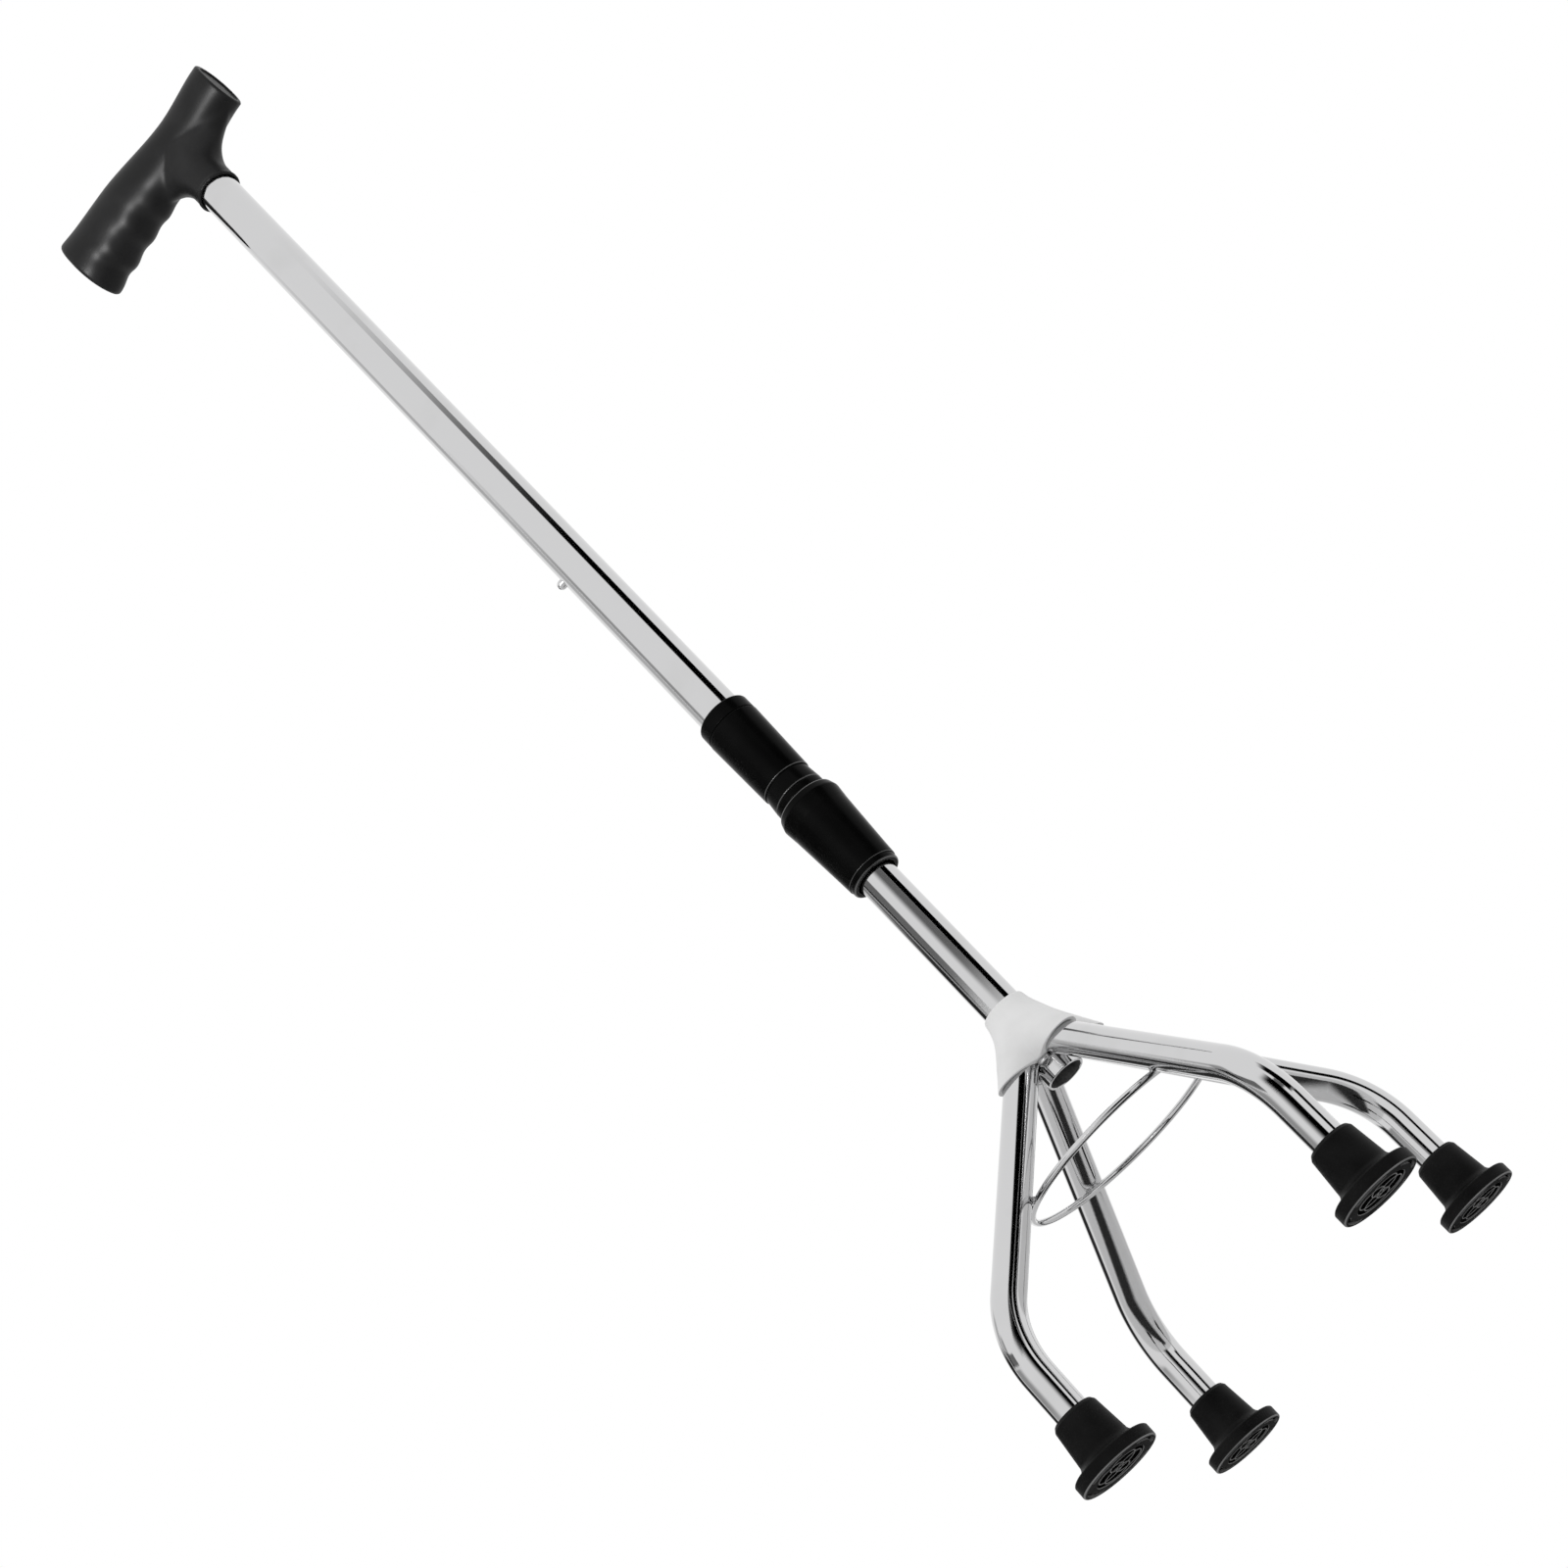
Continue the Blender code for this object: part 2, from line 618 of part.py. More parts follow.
rim_r = neck_out + SOCKET_RIM
rear_half, rear_centre = handle_size(-neck_out - THROAT_REACH_REAR)
nose_half, nose_centre = handle_size(neck_out + THROAT_REACH_NOSE / 2)
rear_start = rear_centre - rear_half - THROAT_HEIGHT_REAR + THROAT_OVERLAP
nose_start = nose_centre - nose_half - THROAT_HEIGHT_NOSE + THROAT_OVERLAP
neck_rings = [
    neck_section(socket_bottom, rim_r - 0.4 * MM, rim_r - 0.4 * MM, rim_r - 0.4 * MM),
    neck_section(socket_bottom + 0.4 * MM, rim_r, rim_r, rim_r),
    neck_section(socket_bottom + SOCKET_RIM_HEIGHT, rim_r, rim_r, rim_r),
]
throat_low = min(rear_start, nose_start)
throat_high = max(rear_start + THROAT_HEIGHT_REAR, nose_start + THROAT_HEIGHT_NOSE)
side_high = handle_size(0)[0] * HANDLE_FLATNESS - 0.4 * MM
neck_rings.append(neck_section(throat_low, neck_out, neck_out, neck_out))
for i in range(1, 9):
    t = i / 8
    z = throat_low + (throat_high - throat_low) * t
    rear = throat(THROAT_REACH_REAR, THROAT_HEIGHT_REAR, rear_start, z)
    front = throat(THROAT_REACH_NOSE, THROAT_HEIGHT_NOSE, nose_start, z)
    side = neck_out + (side_high - neck_out) * smooth(t)
    neck_rings.append(neck_section(z, neck_out + front, neck_out + rear, side))
for i in range(1, 4):
    t = i / 3
    z = throat_high + (handle_centre - throat_high) * t
    neck_rings.append(neck_section(z, neck_out + front * (1 - 0.7 * t), neck_out + rear * (1 - 0.7 * t), side_high))
handle_neck = loft("join_handle_neck", neck_rings, cutter=True)
socket = cylinder("cut_socket", sleeve_bore, socket_bottom - 5 * MM, upper_top + FIT_GAP)
recess_rings = [handle_section(HANDLE_NOSE - NOSE_RECESS, inset=NOSE_RIM), handle_section(HANDLE_NOSE, inset=NOSE_RIM)]
recess_rings[1] = [(HANDLE_NOSE + NOSE_RECESS, y, z) for x, y, z in recess_rings[1]]
nose_recess = loft("cut_nose_recess", recess_rings, cutter=True)
boolean(handle_grip, "UNION", handle_neck)
boolean(handle_grip, "DIFFERENCE", socket, nose_recess)

# Legs: straight from the tube, then bent down into the feet
corner_height = LEG_MEETING_HEIGHT - foot_radius / math.tan(LEG_ANGLE)
bend_run = LEG_BEND_RADIUS * math.tan(LEG_ANGLE / 2)
leg_end = FOOT_SOLE + 2 * FIT_GAP + WASHER_THICKNESS


def leg_path(azimuth, extra=0.0):
    """Centre line of a leg: (radius, height) points from the hub to the foot, turned to the leg's azimuth."""
    start = 2.0 * MM - extra
    flat_points = [(start * math.sin(LEG_ANGLE), LEG_MEETING_HEIGHT - start * math.cos(LEG_ANGLE))]
    centre = (foot_radius - LEG_BEND_RADIUS, corner_height - bend_run)
    flat_points += arc(centre, LEG_BEND_RADIUS, 90 - math.degrees(LEG_ANGLE), 0, 6)
    flat_points.append((foot_radius, leg_end - extra))
    return [(r * math.cos(azimuth), r * math.sin(azimuth), z) for r, z in flat_points]


leg_azimuths = {
    "front_right": -foot_azimuth,
    "front_left": foot_azimuth,
    "rear_right": -math.pi + foot_azimuth,
    "rear_left": math.pi - foot_azimuth,
}
legs = {}
tube_cut = cylinder("cut_leg_tops", lower_r + FIT_GAP, lower_bottom, hub_top)
for name, azimuth in leg_azimuths.items():
    leg = rod(f"leg_{name}", leg_path(azimuth), leg_r, 7)
    bore = rod(f"cut_leg_bore_{name}", leg_path(azimuth, 5 * MM), leg_r - LEG_WALL, 4, cutter=True)
    far = foot_radius + 2 * leg_r
    sx, sy = math.copysign(1, math.cos(azimuth)), math.copysign(1, math.sin(azimuth))
    xs = sorted((sx * MITRE_GAP / 2, sx * far))
    ys = sorted((sy * MITRE_GAP / 2, sy * far))
    quarter = block(f"cut_leg_quarter_{name}", (xs[0], ys[0], -far), (xs[1], ys[1], hub_top))
    boolean(leg, "DIFFERENCE", bore)
    boolean(leg, "INTERSECT", quarter)
    boolean(leg, "DIFFERENCE", tube_cut)
    legs[name] = leg

# Hub cover: level sections that run from a cone round the tube into a lobe over each leg. The bore of one leg
# is cut, and the quarter that holds it is mirrored.
hub_top_r = lower_r + FIT_GAP + HUB_TOP_WALL
hub_height = hub_top - hub_bottom
lobe_r = leg_r + FIT_GAP + HUB_LOBE_WALL
lobe_end = (HUB_BELOW + 3 * lobe_r) * math.tan(LEG_ANGLE)


def hub_reach(angle, z):
    """How far the cover stands out from the tube's axis at height z: its cone and its lobes, blended."""
    drop = (hub_top - z) / hub_height
    cone = hub_top_r + HUB_CONE_FLARE * drop + (HUB_SKIRT_FLARE - HUB_CONE_FLARE) * smooth(drop)
    total = cone ** HUB_BLEND
    radius = lobe_r + HUB_LOBE_SWELL * (1 - drop)
    centre = (LEG_MEETING_HEIGHT - z) * math.tan(LEG_ANGLE)
    long, wide = radius / math.cos(LEG_ANGLE), radius
    for azimuth in leg_azimuths.values():
        c, s = math.cos(angle - azimuth), math.sin(angle - azimuth)
        a = (c / long) ** 2 + (s / wide) ** 2
        b = -centre * c / long ** 2
        inside = b * b - a * ((centre / long) ** 2 - 1)
        if inside > 0 and c > 0:
            total += max((math.sqrt(inside) - b) / a, 0.0) ** HUB_BLEND
    return total ** (1 / HUB_BLEND)


def hub_section(z, inset=0.0, points=44):
    """A level section of the cover, evened out over a small angle."""
    ring = []
    for i in range(points):
        angle = math.tau * (i + 0.5) / points
        spread = [hub_reach(angle + math.radians(offset), z) for offset in (-7, -3.5, 0, 3.5, 7)]
        reach = (spread[0] + 2 * spread[1] + 3 * spread[2] + 2 * spread[3] + spread[4]) / 9 - inset
        ring.append((reach * math.cos(angle), reach * math.sin(angle), z))
    return ring


hub_rings = [hub_section(hub_top, 0.5 * MM), hub_section(hub_top - 0.5 * MM)]
hub_rings += [hub_section(hub_top - 0.5 * MM - (hub_height - 0.5 * MM) * i / 9) for i in range(1, 10)]
hub_cover = loft("hub_cover", hub_rings)


def leg_line(start, end):
    """Two points on the front left leg's straight run, by their distance from the tube's axis."""
    return [
        (r * math.cos(foot_azimuth), r * math.sin(foot_azimuth), LEG_MEETING_HEIGHT - r / math.tan(LEG_ANGLE))
        for r in (start, end)
    ]


lobe_bore = rod("cut_hub_leg", leg_line(-lobe_r / 2, lobe_end), leg_r + FIT_GAP, 8, cutter=True)
hub_bore = cylinder("cut_hub_tube", lower_r + FIT_GAP, lower_bottom, hub_top + 5 * MM)
boolean(hub_cover, "DIFFERENCE", hub_bore, lobe_bore)
mirror = hub_cover.modifiers.new("Mirror", "MIRROR")
mirror.use_axis = (True, True, False)
mirror.use_bisect_axis = (True, True, False)
mirror.merge_threshold = 0.00001
mirror.bisect_threshold = 0.000001
bake(hub_cover)

# Brace ring, laid against the inner side of the four legs. It stands a little higher at the +Y side, so its
# centre and height follow from the tilt: the circle has to meet both pairs of legs at one distance.
wire_r = RING_WIRE_DIA / 2
leg_offset = (leg_r + wire_r + FIT_GAP) / math.sin(LEG_ANGLE)
line_slope = 1 / math.tan(LEG_ANGLE)
lean = math.tan(RING_TILT) * math.sin(foot_azimuth) / line_slope
stretch = 1 / math.cos(RING_TILT)
cos_az, sin_az = math.cos(foot_azimuth), math.sin(foot_azimuth)
centre_share = lean * (cos_az ** 2 / (stretch ** 2 * sin_az) + sin_az)
mean_r = RING_RADIUS / math.hypot((1 + lean) * cos_az, stretch * (centre_share - (1 + lean) * sin_az))
ring_y = -mean_r * centre_share
near_height = LEG_MEETING_HEIGHT - leg_offset - mean_r * (1 + lean) * line_slope
ring_z = near_height + math.tan(RING_TILT) * (ring_y + mean_r * (1 + lean) * sin_az)
bpy.ops.mesh.primitive_torus_add(
    major_radius=RING_RADIUS,
    minor_radius=wire_r,
    major_segments=42,
    minor_segments=8,
    location=(0, ring_y, ring_z),
    rotation=(RING_TILT, 0, 0),
)
brace_ring = bpy.context.object
brace_ring.name = "brace_ring"
for owner in list(brace_ring.users_collection):
    owner.objects.unlink(brace_ring)
model.objects.link(brace_ring)
brace_ring.data.shade_smooth()

# Foot: a rubber ferrule with a flared, treaded sole. One mesh serves all four.
foot_r = FOOT_FLANGE_DIA / 2
foot_bore = leg_r + FIT_GAP
foot_neck_r = foot_bore + FOOT_NECK_WALL
foot_lip_r = foot_bore + FOOT_LIP_WALL
flare_top = FOOT_FLANGE_HEIGHT + FOOT_FLARE_HEIGHT
flare = [
    (foot_neck_r + (foot_r - 0.5 * MM - foot_neck_r) * (1 - math.cos(a)), flare_top - FOOT_FLARE_HEIGHT * math.sin(a))
    for a in [math.radians(90 * i / 3) for i in range(1, 4)]
]
foot = turned("foot_front_right", [
    (foot_lip_r - FOOT_LIP_CHAMFER, FOOT_HEIGHT),
    (foot_lip_r, FOOT_HEIGHT - FOOT_LIP_CHAMFER),
    (foot_neck_r, flare_top),
] + flare + [
    (foot_r, FOOT_FLANGE_HEIGHT - 0.5 * MM),
    (foot_r, 0.7 * MM),
    (foot_r - 0.7 * MM, 0),
    (TREAD_DIA / 2, 0),
    (TREAD_DIA / 2, TREAD_DEPTH),
    (0, TREAD_DEPTH),
    (0, FOOT_SOLE),
    (foot_bore, FOOT_SOLE),
    (foot_bore, FOOT_HEIGHT),
], steps=20)
tread_loops = []
for n in range(4):
    a = math.radians(45 + 90 * n)
    outer = TREAD_LOOP_DIA / 2
    tread_loops.append(turned(f"join_tread_loop_{n}", [
        (outer, TREAD_DEPTH + 0.5 * MM),
        (outer, 0.2 * MM),
        (outer - TREAD_RIB, 0.2 * MM),
        (outer - TREAD_RIB, TREAD_DEPTH + 0.5 * MM),
    ], (TREAD_LOOP_OFFSET * math.cos(a), TREAD_LOOP_OFFSET * math.sin(a), 0), 12, cutter=True))
    tread_loops[-1].rotation_euler.z = math.radians(7.5)
grooves = []
for n in range(TREAD_GROOVES):
    middle = 360 / TREAD_GROOVES * n
    span = 360 / TREAD_GROOVES * 0.36
    inner_r = TREAD_GROOVE_DIA / 2 - TREAD_GROOVE / 2
    outline = arc((0, 0), inner_r, middle - span, middle + span, 4)
    outline += arc((0, 0), inner_r + TREAD_GROOVE, middle + span, middle - span, 4)
    groove = flat(f"cut_groove_{n}", outline, 2 * TREAD_DEPTH)
    model.objects.unlink(groove)
    grooves.append(link(groove, cutter=True))
boolean(foot, "UNION", *tread_loops)
boolean(foot, "DIFFERENCE", *grooves)
feet = {"front_right": foot}
for name in list(leg_azimuths)[1:]:
    feet[name] = link(bpy.data.objects.new(f"foot_{name}", foot.data))
washers = {}
for name, azimuth in leg_azimuths.items():
    place = (foot_radius * math.cos(azimuth), foot_radius * math.sin(azimuth), 0)
    feet[name].location = place
    washers[name] = turned(f"foot_washer_{name}", [
        (0, WASHER_THICKNESS),
        (leg_r, WASHER_THICKNESS),
        (leg_r, 0),
        (0, 0),
    ], (place[0], place[1], FOOT_SOLE + FIT_GAP), 20, ring=False)

# Looks
black_plastic = material("black_plastic", (0.022, 0.022, 0.024), 0.42, 0.0)
grip_plastic = material("grip_plastic", (0.016, 0.016, 0.017), 0.5, 0.0)
grey_plastic = material("grey_plastic", (0.76, 0.77, 0.78), 0.45, 0.0)
chrome = material("chrome", (0.83, 0.84, 0.86), 0.12, 1.0)
steel = material("steel", (0.62, 0.63, 0.65), 0.32, 1.0)
rubber = material("rubber", (0.02, 0.02, 0.021), 0.65, 0.0)
paint(grip_plastic, handle_grip)
paint(black_plastic, collar_sleeve, collar_cap, stop_ring, lock_nut, collet_bush, tube_plug)
paint(grey_plastic, hub_cover)
paint(chrome, lower_tube, upper_tube, snap_button, brace_ring, *legs.values())
paint(steel, button_leaf, spring_clip, *washers.values())
paint(rubber, *feet.values())

# The moving groups hang from empties on their joints' axes
for name, place, members in (
    ("upper_frame", (0, 0, COLLAR_HEIGHT), (upper_tube, handle_grip, collar_sleeve, collar_cap, stop_ring)),
    ("collet_frame", (0, 0, bush_bottom), (collet_bush,)),
    ("nut_frame", (0, 0, COLLAR_HEIGHT), (lock_nut,)),
    ("button_frame", (0, 0, button_height), (snap_button, button_leaf)),
):
    empty = bpy.data.objects.new(name, None)
    empty.location = place
    model.objects.link(empty)
    bpy.context.view_layer.update()
    for member in members:
        member.parent = empty
        member.matrix_parent_inverse = Matrix.Translation(Vector(place)).inverted()
bpy.context.view_layer.update()
print("quad cane:", len([o for o in model.objects if o.type == "MESH"]), "pieces")
print("button height", round(button_height, 5), "upper tube", round(upper_bottom, 5), round(upper_top, 5))
print("ring centre", round(ring_y, 5), round(ring_z, 5), "handle centre", round(handle_centre, 5))
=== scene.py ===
import json
import math

import bmesh
import bpy
import numpy as np
from mathutils import Euler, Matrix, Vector


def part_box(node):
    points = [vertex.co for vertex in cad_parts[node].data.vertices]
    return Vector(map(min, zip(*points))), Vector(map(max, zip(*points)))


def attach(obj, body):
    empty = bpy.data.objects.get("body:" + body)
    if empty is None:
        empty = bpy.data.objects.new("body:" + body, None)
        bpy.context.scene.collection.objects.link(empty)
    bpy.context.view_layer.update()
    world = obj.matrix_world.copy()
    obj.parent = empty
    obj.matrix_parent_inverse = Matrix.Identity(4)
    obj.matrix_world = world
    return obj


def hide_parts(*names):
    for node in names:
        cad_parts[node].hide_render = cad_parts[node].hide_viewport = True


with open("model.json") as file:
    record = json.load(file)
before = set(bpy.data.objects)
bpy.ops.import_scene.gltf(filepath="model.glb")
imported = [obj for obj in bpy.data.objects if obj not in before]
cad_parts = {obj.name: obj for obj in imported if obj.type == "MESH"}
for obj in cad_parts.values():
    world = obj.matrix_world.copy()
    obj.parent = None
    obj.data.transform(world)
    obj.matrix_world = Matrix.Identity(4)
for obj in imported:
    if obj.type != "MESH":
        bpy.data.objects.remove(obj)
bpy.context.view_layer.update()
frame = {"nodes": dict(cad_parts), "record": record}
nodes = frame["nodes"]
scene = bpy.context.scene
mm = 0.001
print("frame loaded:", len(nodes), "nodes")

# Camera: below the floor's level, looking up along the tubes
cameraSet = {
    "place": (0.245972, -1.08883, -0.211227),
    "turn": (124.5485, 38.2982, 35.8991),
    "lens": 61.783,
    "sensor": 36.0,
    "clip": (0.02, 40.0),
}


def addObject(name, data):
    thing = bpy.data.objects.new(name, data)
    scene.collection.objects.link(thing)
    return thing


def makeCamera():
    data = bpy.data.cameras.new("photoCamera")
    data.lens = cameraSet["lens"]
    data.sensor_width = cameraSet["sensor"]
    data.clip_start, data.clip_end = cameraSet["clip"]
    camera = addObject("photoCamera", data)
    camera.location = cameraSet["place"]
    camera.rotation_euler = Euler([math.radians(a) for a in cameraSet["turn"]])
    scene.camera = camera


makeCamera()
print("camera placed")


class Sock:
    # a node's output, so that shader maths reads as plain expressions
    def __init__(self, tree, out=None):
        self.tree = tree
        self.out = out

    def node(self, kind, settings=None, inputs=None, out=0):
        new = self.tree.nodes.new("ShaderNode" + kind)
        for key, value in (settings or {}).items():
            setattr(new, key, value)
        for key, value in (inputs or {}).items():
            socket = new.inputs[key]
            if isinstance(value, Sock):
                self.tree.links.new(value.out, socket)
            elif socket.type == "RGBA":
                socket.default_value = (*value, 1)
            else:
                socket.default_value = value
        return Sock(self.tree, new.outputs[out] if new.outputs else None)

    def maths(self, operation, a, b):
        return self.node("Math", {"operation": operation}, {0: a, 1: b})

    def __add__(self, other):
        return self.maths("ADD", self, other)

    def __radd__(self, other):
        return self.maths("ADD", other, self)

    def __mul__(self, other):
        return self.maths("MULTIPLY", self, other)

    def __rmul__(self, other):
        return self.maths("MULTIPLY", other, self)

    def between(self, low, high):
        return self.node("MapRange", None, {"Value": self, "From Min": low, "From Max": high})

    def mix(self, low, high):
        return self.node("Mix", {"data_type": "RGBA"}, {0: self, 6: low, 7: high}, out=2)

    def scaled(self, amounts):
        return self.node("VectorMath", {"operation": "MULTIPLY"}, {0: self, 1: amounts})


def newMaterial(name):
    mat = bpy.data.materials.new(name)
    mat.use_nodes = True
    mat.node_tree.nodes.clear()
    return mat, Sock(mat.node_tree)


def closeMaterial(mat, s, shader):
    s.node("OutputMaterial", None, {"Surface": shader})
    return mat


def objectCoords(s):
    return s.node("TexCoord", out="Object")


def noise(s, coords, scale, detail=2.0):
    return s.node("TexNoise", None, {"Vector": coords, "Scale": scale, "Detail": detail})


def bump(s, height, strength, distance):
    return s.node("Bump", None, {"Height": height, "Strength": strength, "Distance": distance})


def grey(shade):
    return (shade, shade, shade)


# Plated tube: polished, with soft draw lines along it and a few rubbed places
chromeSet = {
    "colour": (0.62, 0.62, 0.625), "rubbed": grey(0.57), "rubbedFrom": (0.55, 0.75), "rubbedShare": 0.5,
    "rough": 0.045, "lines": 0.03, "lineScale": (900.0, 900.0, 14.0),
    "cloudScale": 38.0, "cloudRough": 0.015,
    "waveScale": 120.0, "waveDepth": 0.000005, "bump": 0.35,
}
tackSet = dict(chromeSet, rough=0.22, lines=0.1, waveDepth=0.0002)


def chromeMaterial(name, look):
    mat, s = newMaterial(name)
    coords = objectCoords(s)
    drawn = noise(s, coords.scaled(look["lineScale"]), 1.0)
    cloud = noise(s, coords, look["cloudScale"], 3.0)
    wave = noise(s, coords, look["waveScale"], 1.0)
    rubbed = cloud.between(*look["rubbedFrom"]) * look["rubbedShare"]
    return closeMaterial(mat, s, s.node("BsdfPrincipled", None, {
        "Base Color": rubbed.mix(look["colour"], look["rubbed"]),
        "Metallic": 1.0,
        "Roughness": look["rough"] + drawn * look["lines"] + cloud * look["cloudRough"],
        "Normal": bump(s, wave, look["bump"], look["waveDepth"]),
    }))


# Moulded plastics and rubber: the colour varies a little, over a fine grain
mouldedSet = {"cloudScale": 55.0, "wearAndHighlight": (0.42, 0.72), "wornRough": 0.07, "grainRough": 0.05, "bump": 0.3}
gripSet = dict(mouldedSet, colour=(0.0045, 0.0045, 0.0046), dull=(0.0075, 0.0075, 0.0077),
               rough=0.368, gloss=0.13, grain=1500.0, grainDepth=0.00003)
collarSet = dict(mouldedSet, colour=grey(0.001), dull=grey(0.0018),
                 rough=0.2024, gloss=0.04, grain=1800.0, grainDepth=0.00001)
# The edge lines on the collar and nut are painted highlights: a lighter, glossier plastic on thin bands of
# their rounded edges
highlightEdgeSet = dict(collarSet, colour=grey(0.02), dull=grey(0.012), gloss=1.0)
hubSet = dict(mouldedSet, colour=grey(0.86), dull=grey(0.80),
              rough=0.3864, gloss=0.4, grain=1300.0, grainDepth=0.00001)
rubberSet = dict(mouldedSet, colour=grey(0.0035), dull=grey(0.010),
                 rough=0.46, gloss=0.08, grain=2100.0, grainDepth=0.00005)
# Painted highlights on the sole's ribs, lower edges and groove walls, in a much lighter rubber; the sole's
# flat rim is a lighter grey than the rest
highlightTreadSet = dict(rubberSet, colour=grey(0.24), dull=grey(0.14))
soleSet = dict(rubberSet, colour=grey(0.040), dull=grey(0.024))


def mouldedMaterial(name, look):
    mat, s = newMaterial(name)
    coords = objectCoords(s)
    wearAndHighlight = noise(s, coords, look["cloudScale"], 4.0).between(*look["wearAndHighlight"])
    grain = noise(s, coords, look["grain"])
    return closeMaterial(mat, s, s.node("BsdfPrincipled", None, {
        "Base Color": wearAndHighlight.mix(look["colour"], look["dull"]),
        "Roughness": look["rough"] + wearAndHighlight * look["wornRough"] + grain * look["grainRough"],
        "Specular IOR Level": look["gloss"],
        "Normal": bump(s, grain, look["bump"], look["grainDepth"]),
    }))


# Plain steel: duller than the plating, brushed across; the tubes' bores are bare and stained
steelSet = {
    "colour": (0.36, 0.36, 0.37), "stain": grey(0.20), "stained": (0.35, 0.7), "stainScale": 90.0,
    "rough": 0.323, "brush": (40.0, 40.0, 2400.0), "brushRough": 0.12, "bump": 0.3, "brushDepth": 0.00001,
}
boreSet = dict(steelSet, colour=grey(0.30), stain=grey(0.06), rough=0.6375)


def steelMaterial(name, look):
    mat, s = newMaterial(name)
    coords = objectCoords(s)
    brushed = noise(s, coords.scaled(look["brush"]), 1.0)
    stained = noise(s, coords, look["stainScale"], 3.0).between(*look["stained"])
    return closeMaterial(mat, s, s.node("BsdfPrincipled", None, {
        "Base Color": stained.mix(look["colour"], look["stain"]),
        "Metallic": 1.0,
        "Roughness": look["rough"] + brushed * look["brushRough"],
        "Normal": bump(s, brushed, look["bump"], look["brushDepth"]),
    }))


chrome = chromeMaterial("tubeChrome", chromeSet)
tackChrome = chromeMaterial("tackChrome", tackSet)
gripPlastic = mouldedMaterial("gripPlastic", gripSet)
collarPlastic = mouldedMaterial("collarPlastic", collarSet)
paintedHighlightEdge = mouldedMaterial("paintedHighlightEdge", highlightEdgeSet)
hubPlastic = mouldedMaterial("paleHubPlastic", hubSet)
rubber = mouldedMaterial("footRubber", rubberSet)
paintedHighlightTread = mouldedMaterial("paintedHighlightTread", highlightTreadSet)
lighterRimRubber = mouldedMaterial("lighterRimRubber", soleSet)
steel = steelMaterial("plainSteel", steelSet)
bareBore = steelMaterial("bareBore", boreSet)
finishes = {
    "grip_plastic": gripPlastic, "black_plastic": collarPlastic, "grey_plastic": hubPlastic,
    "chrome": chrome, "steel": steel, "rubber": rubber,
}
for part in frame["record"]["subparts"]:
    node = nodes[part["node"]]
    node.data.materials.clear()
    node.data.materials.append(finishes[part["material_slot"]])
print("materials made")


# Mesh helpers
def smooth(t):
    t = min(max(t, 0.0), 1.0)
    return t * t * (3 - 2 * t)


def polar(radius, angle):
    return radius * math.cos(angle), radius * math.sin(angle)


def circle(count, shift=0.0):
    return [math.tau * (i + shift) / count for i in range(count)]


def spokes(count, radius=1.0):
    return [polar(radius, a) for a in circle(count)]


def quarter(steps, first=0):
    # angles from none to a quarter turn
    return [math.radians(90 * k / steps) for k in range(first, steps + 1)]


def span(node):
    # heights between which a CAD node stands
    return [corner.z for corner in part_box(node)]


def rounded(corners, steps=5, closed=True):
    # a corner is (radius, height) or (radius, height, fillet)
    line = []
    count = len(corners)
    for i, corner in enumerate(corners):
        here = Vector(corner[:2])
        fillet = corner[2] if len(corner) > 2 else 0.0
        if not fillet or (not closed and i in (0, count - 1)):
            line.append(tuple(here))
            continue
        back = Vector(corners[i - 1][:2]) - here
        ahead = Vector(corners[(i + 1) % count][:2]) - here
        half = back.angle(ahead) / 2
        reach = min(fillet / math.tan(half), 0.49 * back.length, 0.49 * ahead.length)
        middle = here + (back.normalized() + ahead.normalized()).normalized() * (reach / math.cos(half))
        first = here + back.normalized() * reach - middle
        last = here + ahead.normalized() * reach - middle
        sweep = first.angle(last)
        for k in range(steps + 1):
            t = k / steps
            spot = first * math.sin((1 - t) * sweep) + last * math.sin(t * sweep)
            line.append(tuple(middle + spot / math.sin(sweep)))
    return line


def band(one, two):
    # quads between two closed rows of point numbers
    ahead = [(i + 1) % len(one) for i in range(len(one))]
    return [(one[i], one[j], two[j], two[i]) for i, j in enumerate(ahead)]


def skin(rows, closed=False):
    # quads between rows of points; closed joins the last row to the first, or else both are capped
    count = len(rows[0])
    verts = [point for row in rows for point in row]
    loops = [range(k * count, (k + 1) * count) for k in range(len(rows))]
    faces = []
    for one, two in zip(loops, loops[1:] + loops[:1] if closed else loops[1:]):
        faces += band(one, two)
    if not closed:
        faces += [tuple(loops[0]), tuple(loops[-1])]
    return verts, faces


def turn(profile, segments=96, closed=True, place=(0, 0, 0)):
    # turns a (radius, height) line about the Z axis; points on the axis become one point
    verts, rows, faces = [], [], []
    px, py, pz = place
    for radius, height in profile:
        if radius < mm / 10000:
            rows.append([len(verts)] * segments)
            verts.append((px, py, pz + height))
            continue
        rows.append(list(range(len(verts), len(verts) + segments)))
        verts += [(px + x, py + y, pz + height) for x, y in spokes(segments, radius)]
    pairs = list(zip(rows, rows[1:]))
    if closed:
        pairs.append((rows[-1], rows[0]))
    for one, two in pairs:
        quads = [list(dict.fromkeys(quad)) for quad in band(one, two)]
        faces += [quad for quad in quads if len(quad) > 2]
    return verts, faces


def fillMesh(mesh, verts, faces):
    # adds to what the mesh already holds
    bm = bmesh.new()
    bm.from_mesh(mesh)
    made = [bm.verts.new(v) for v in verts]
    for face in faces:
        bm.faces.new([made[i] for i in face])
    bmesh.ops.delete(bm, geom=[v for v in bm.verts if not v.link_faces], context="VERTS")
    bmesh.ops.recalc_face_normals(bm, faces=bm.faces)
    bm.to_mesh(mesh)
    bm.free()


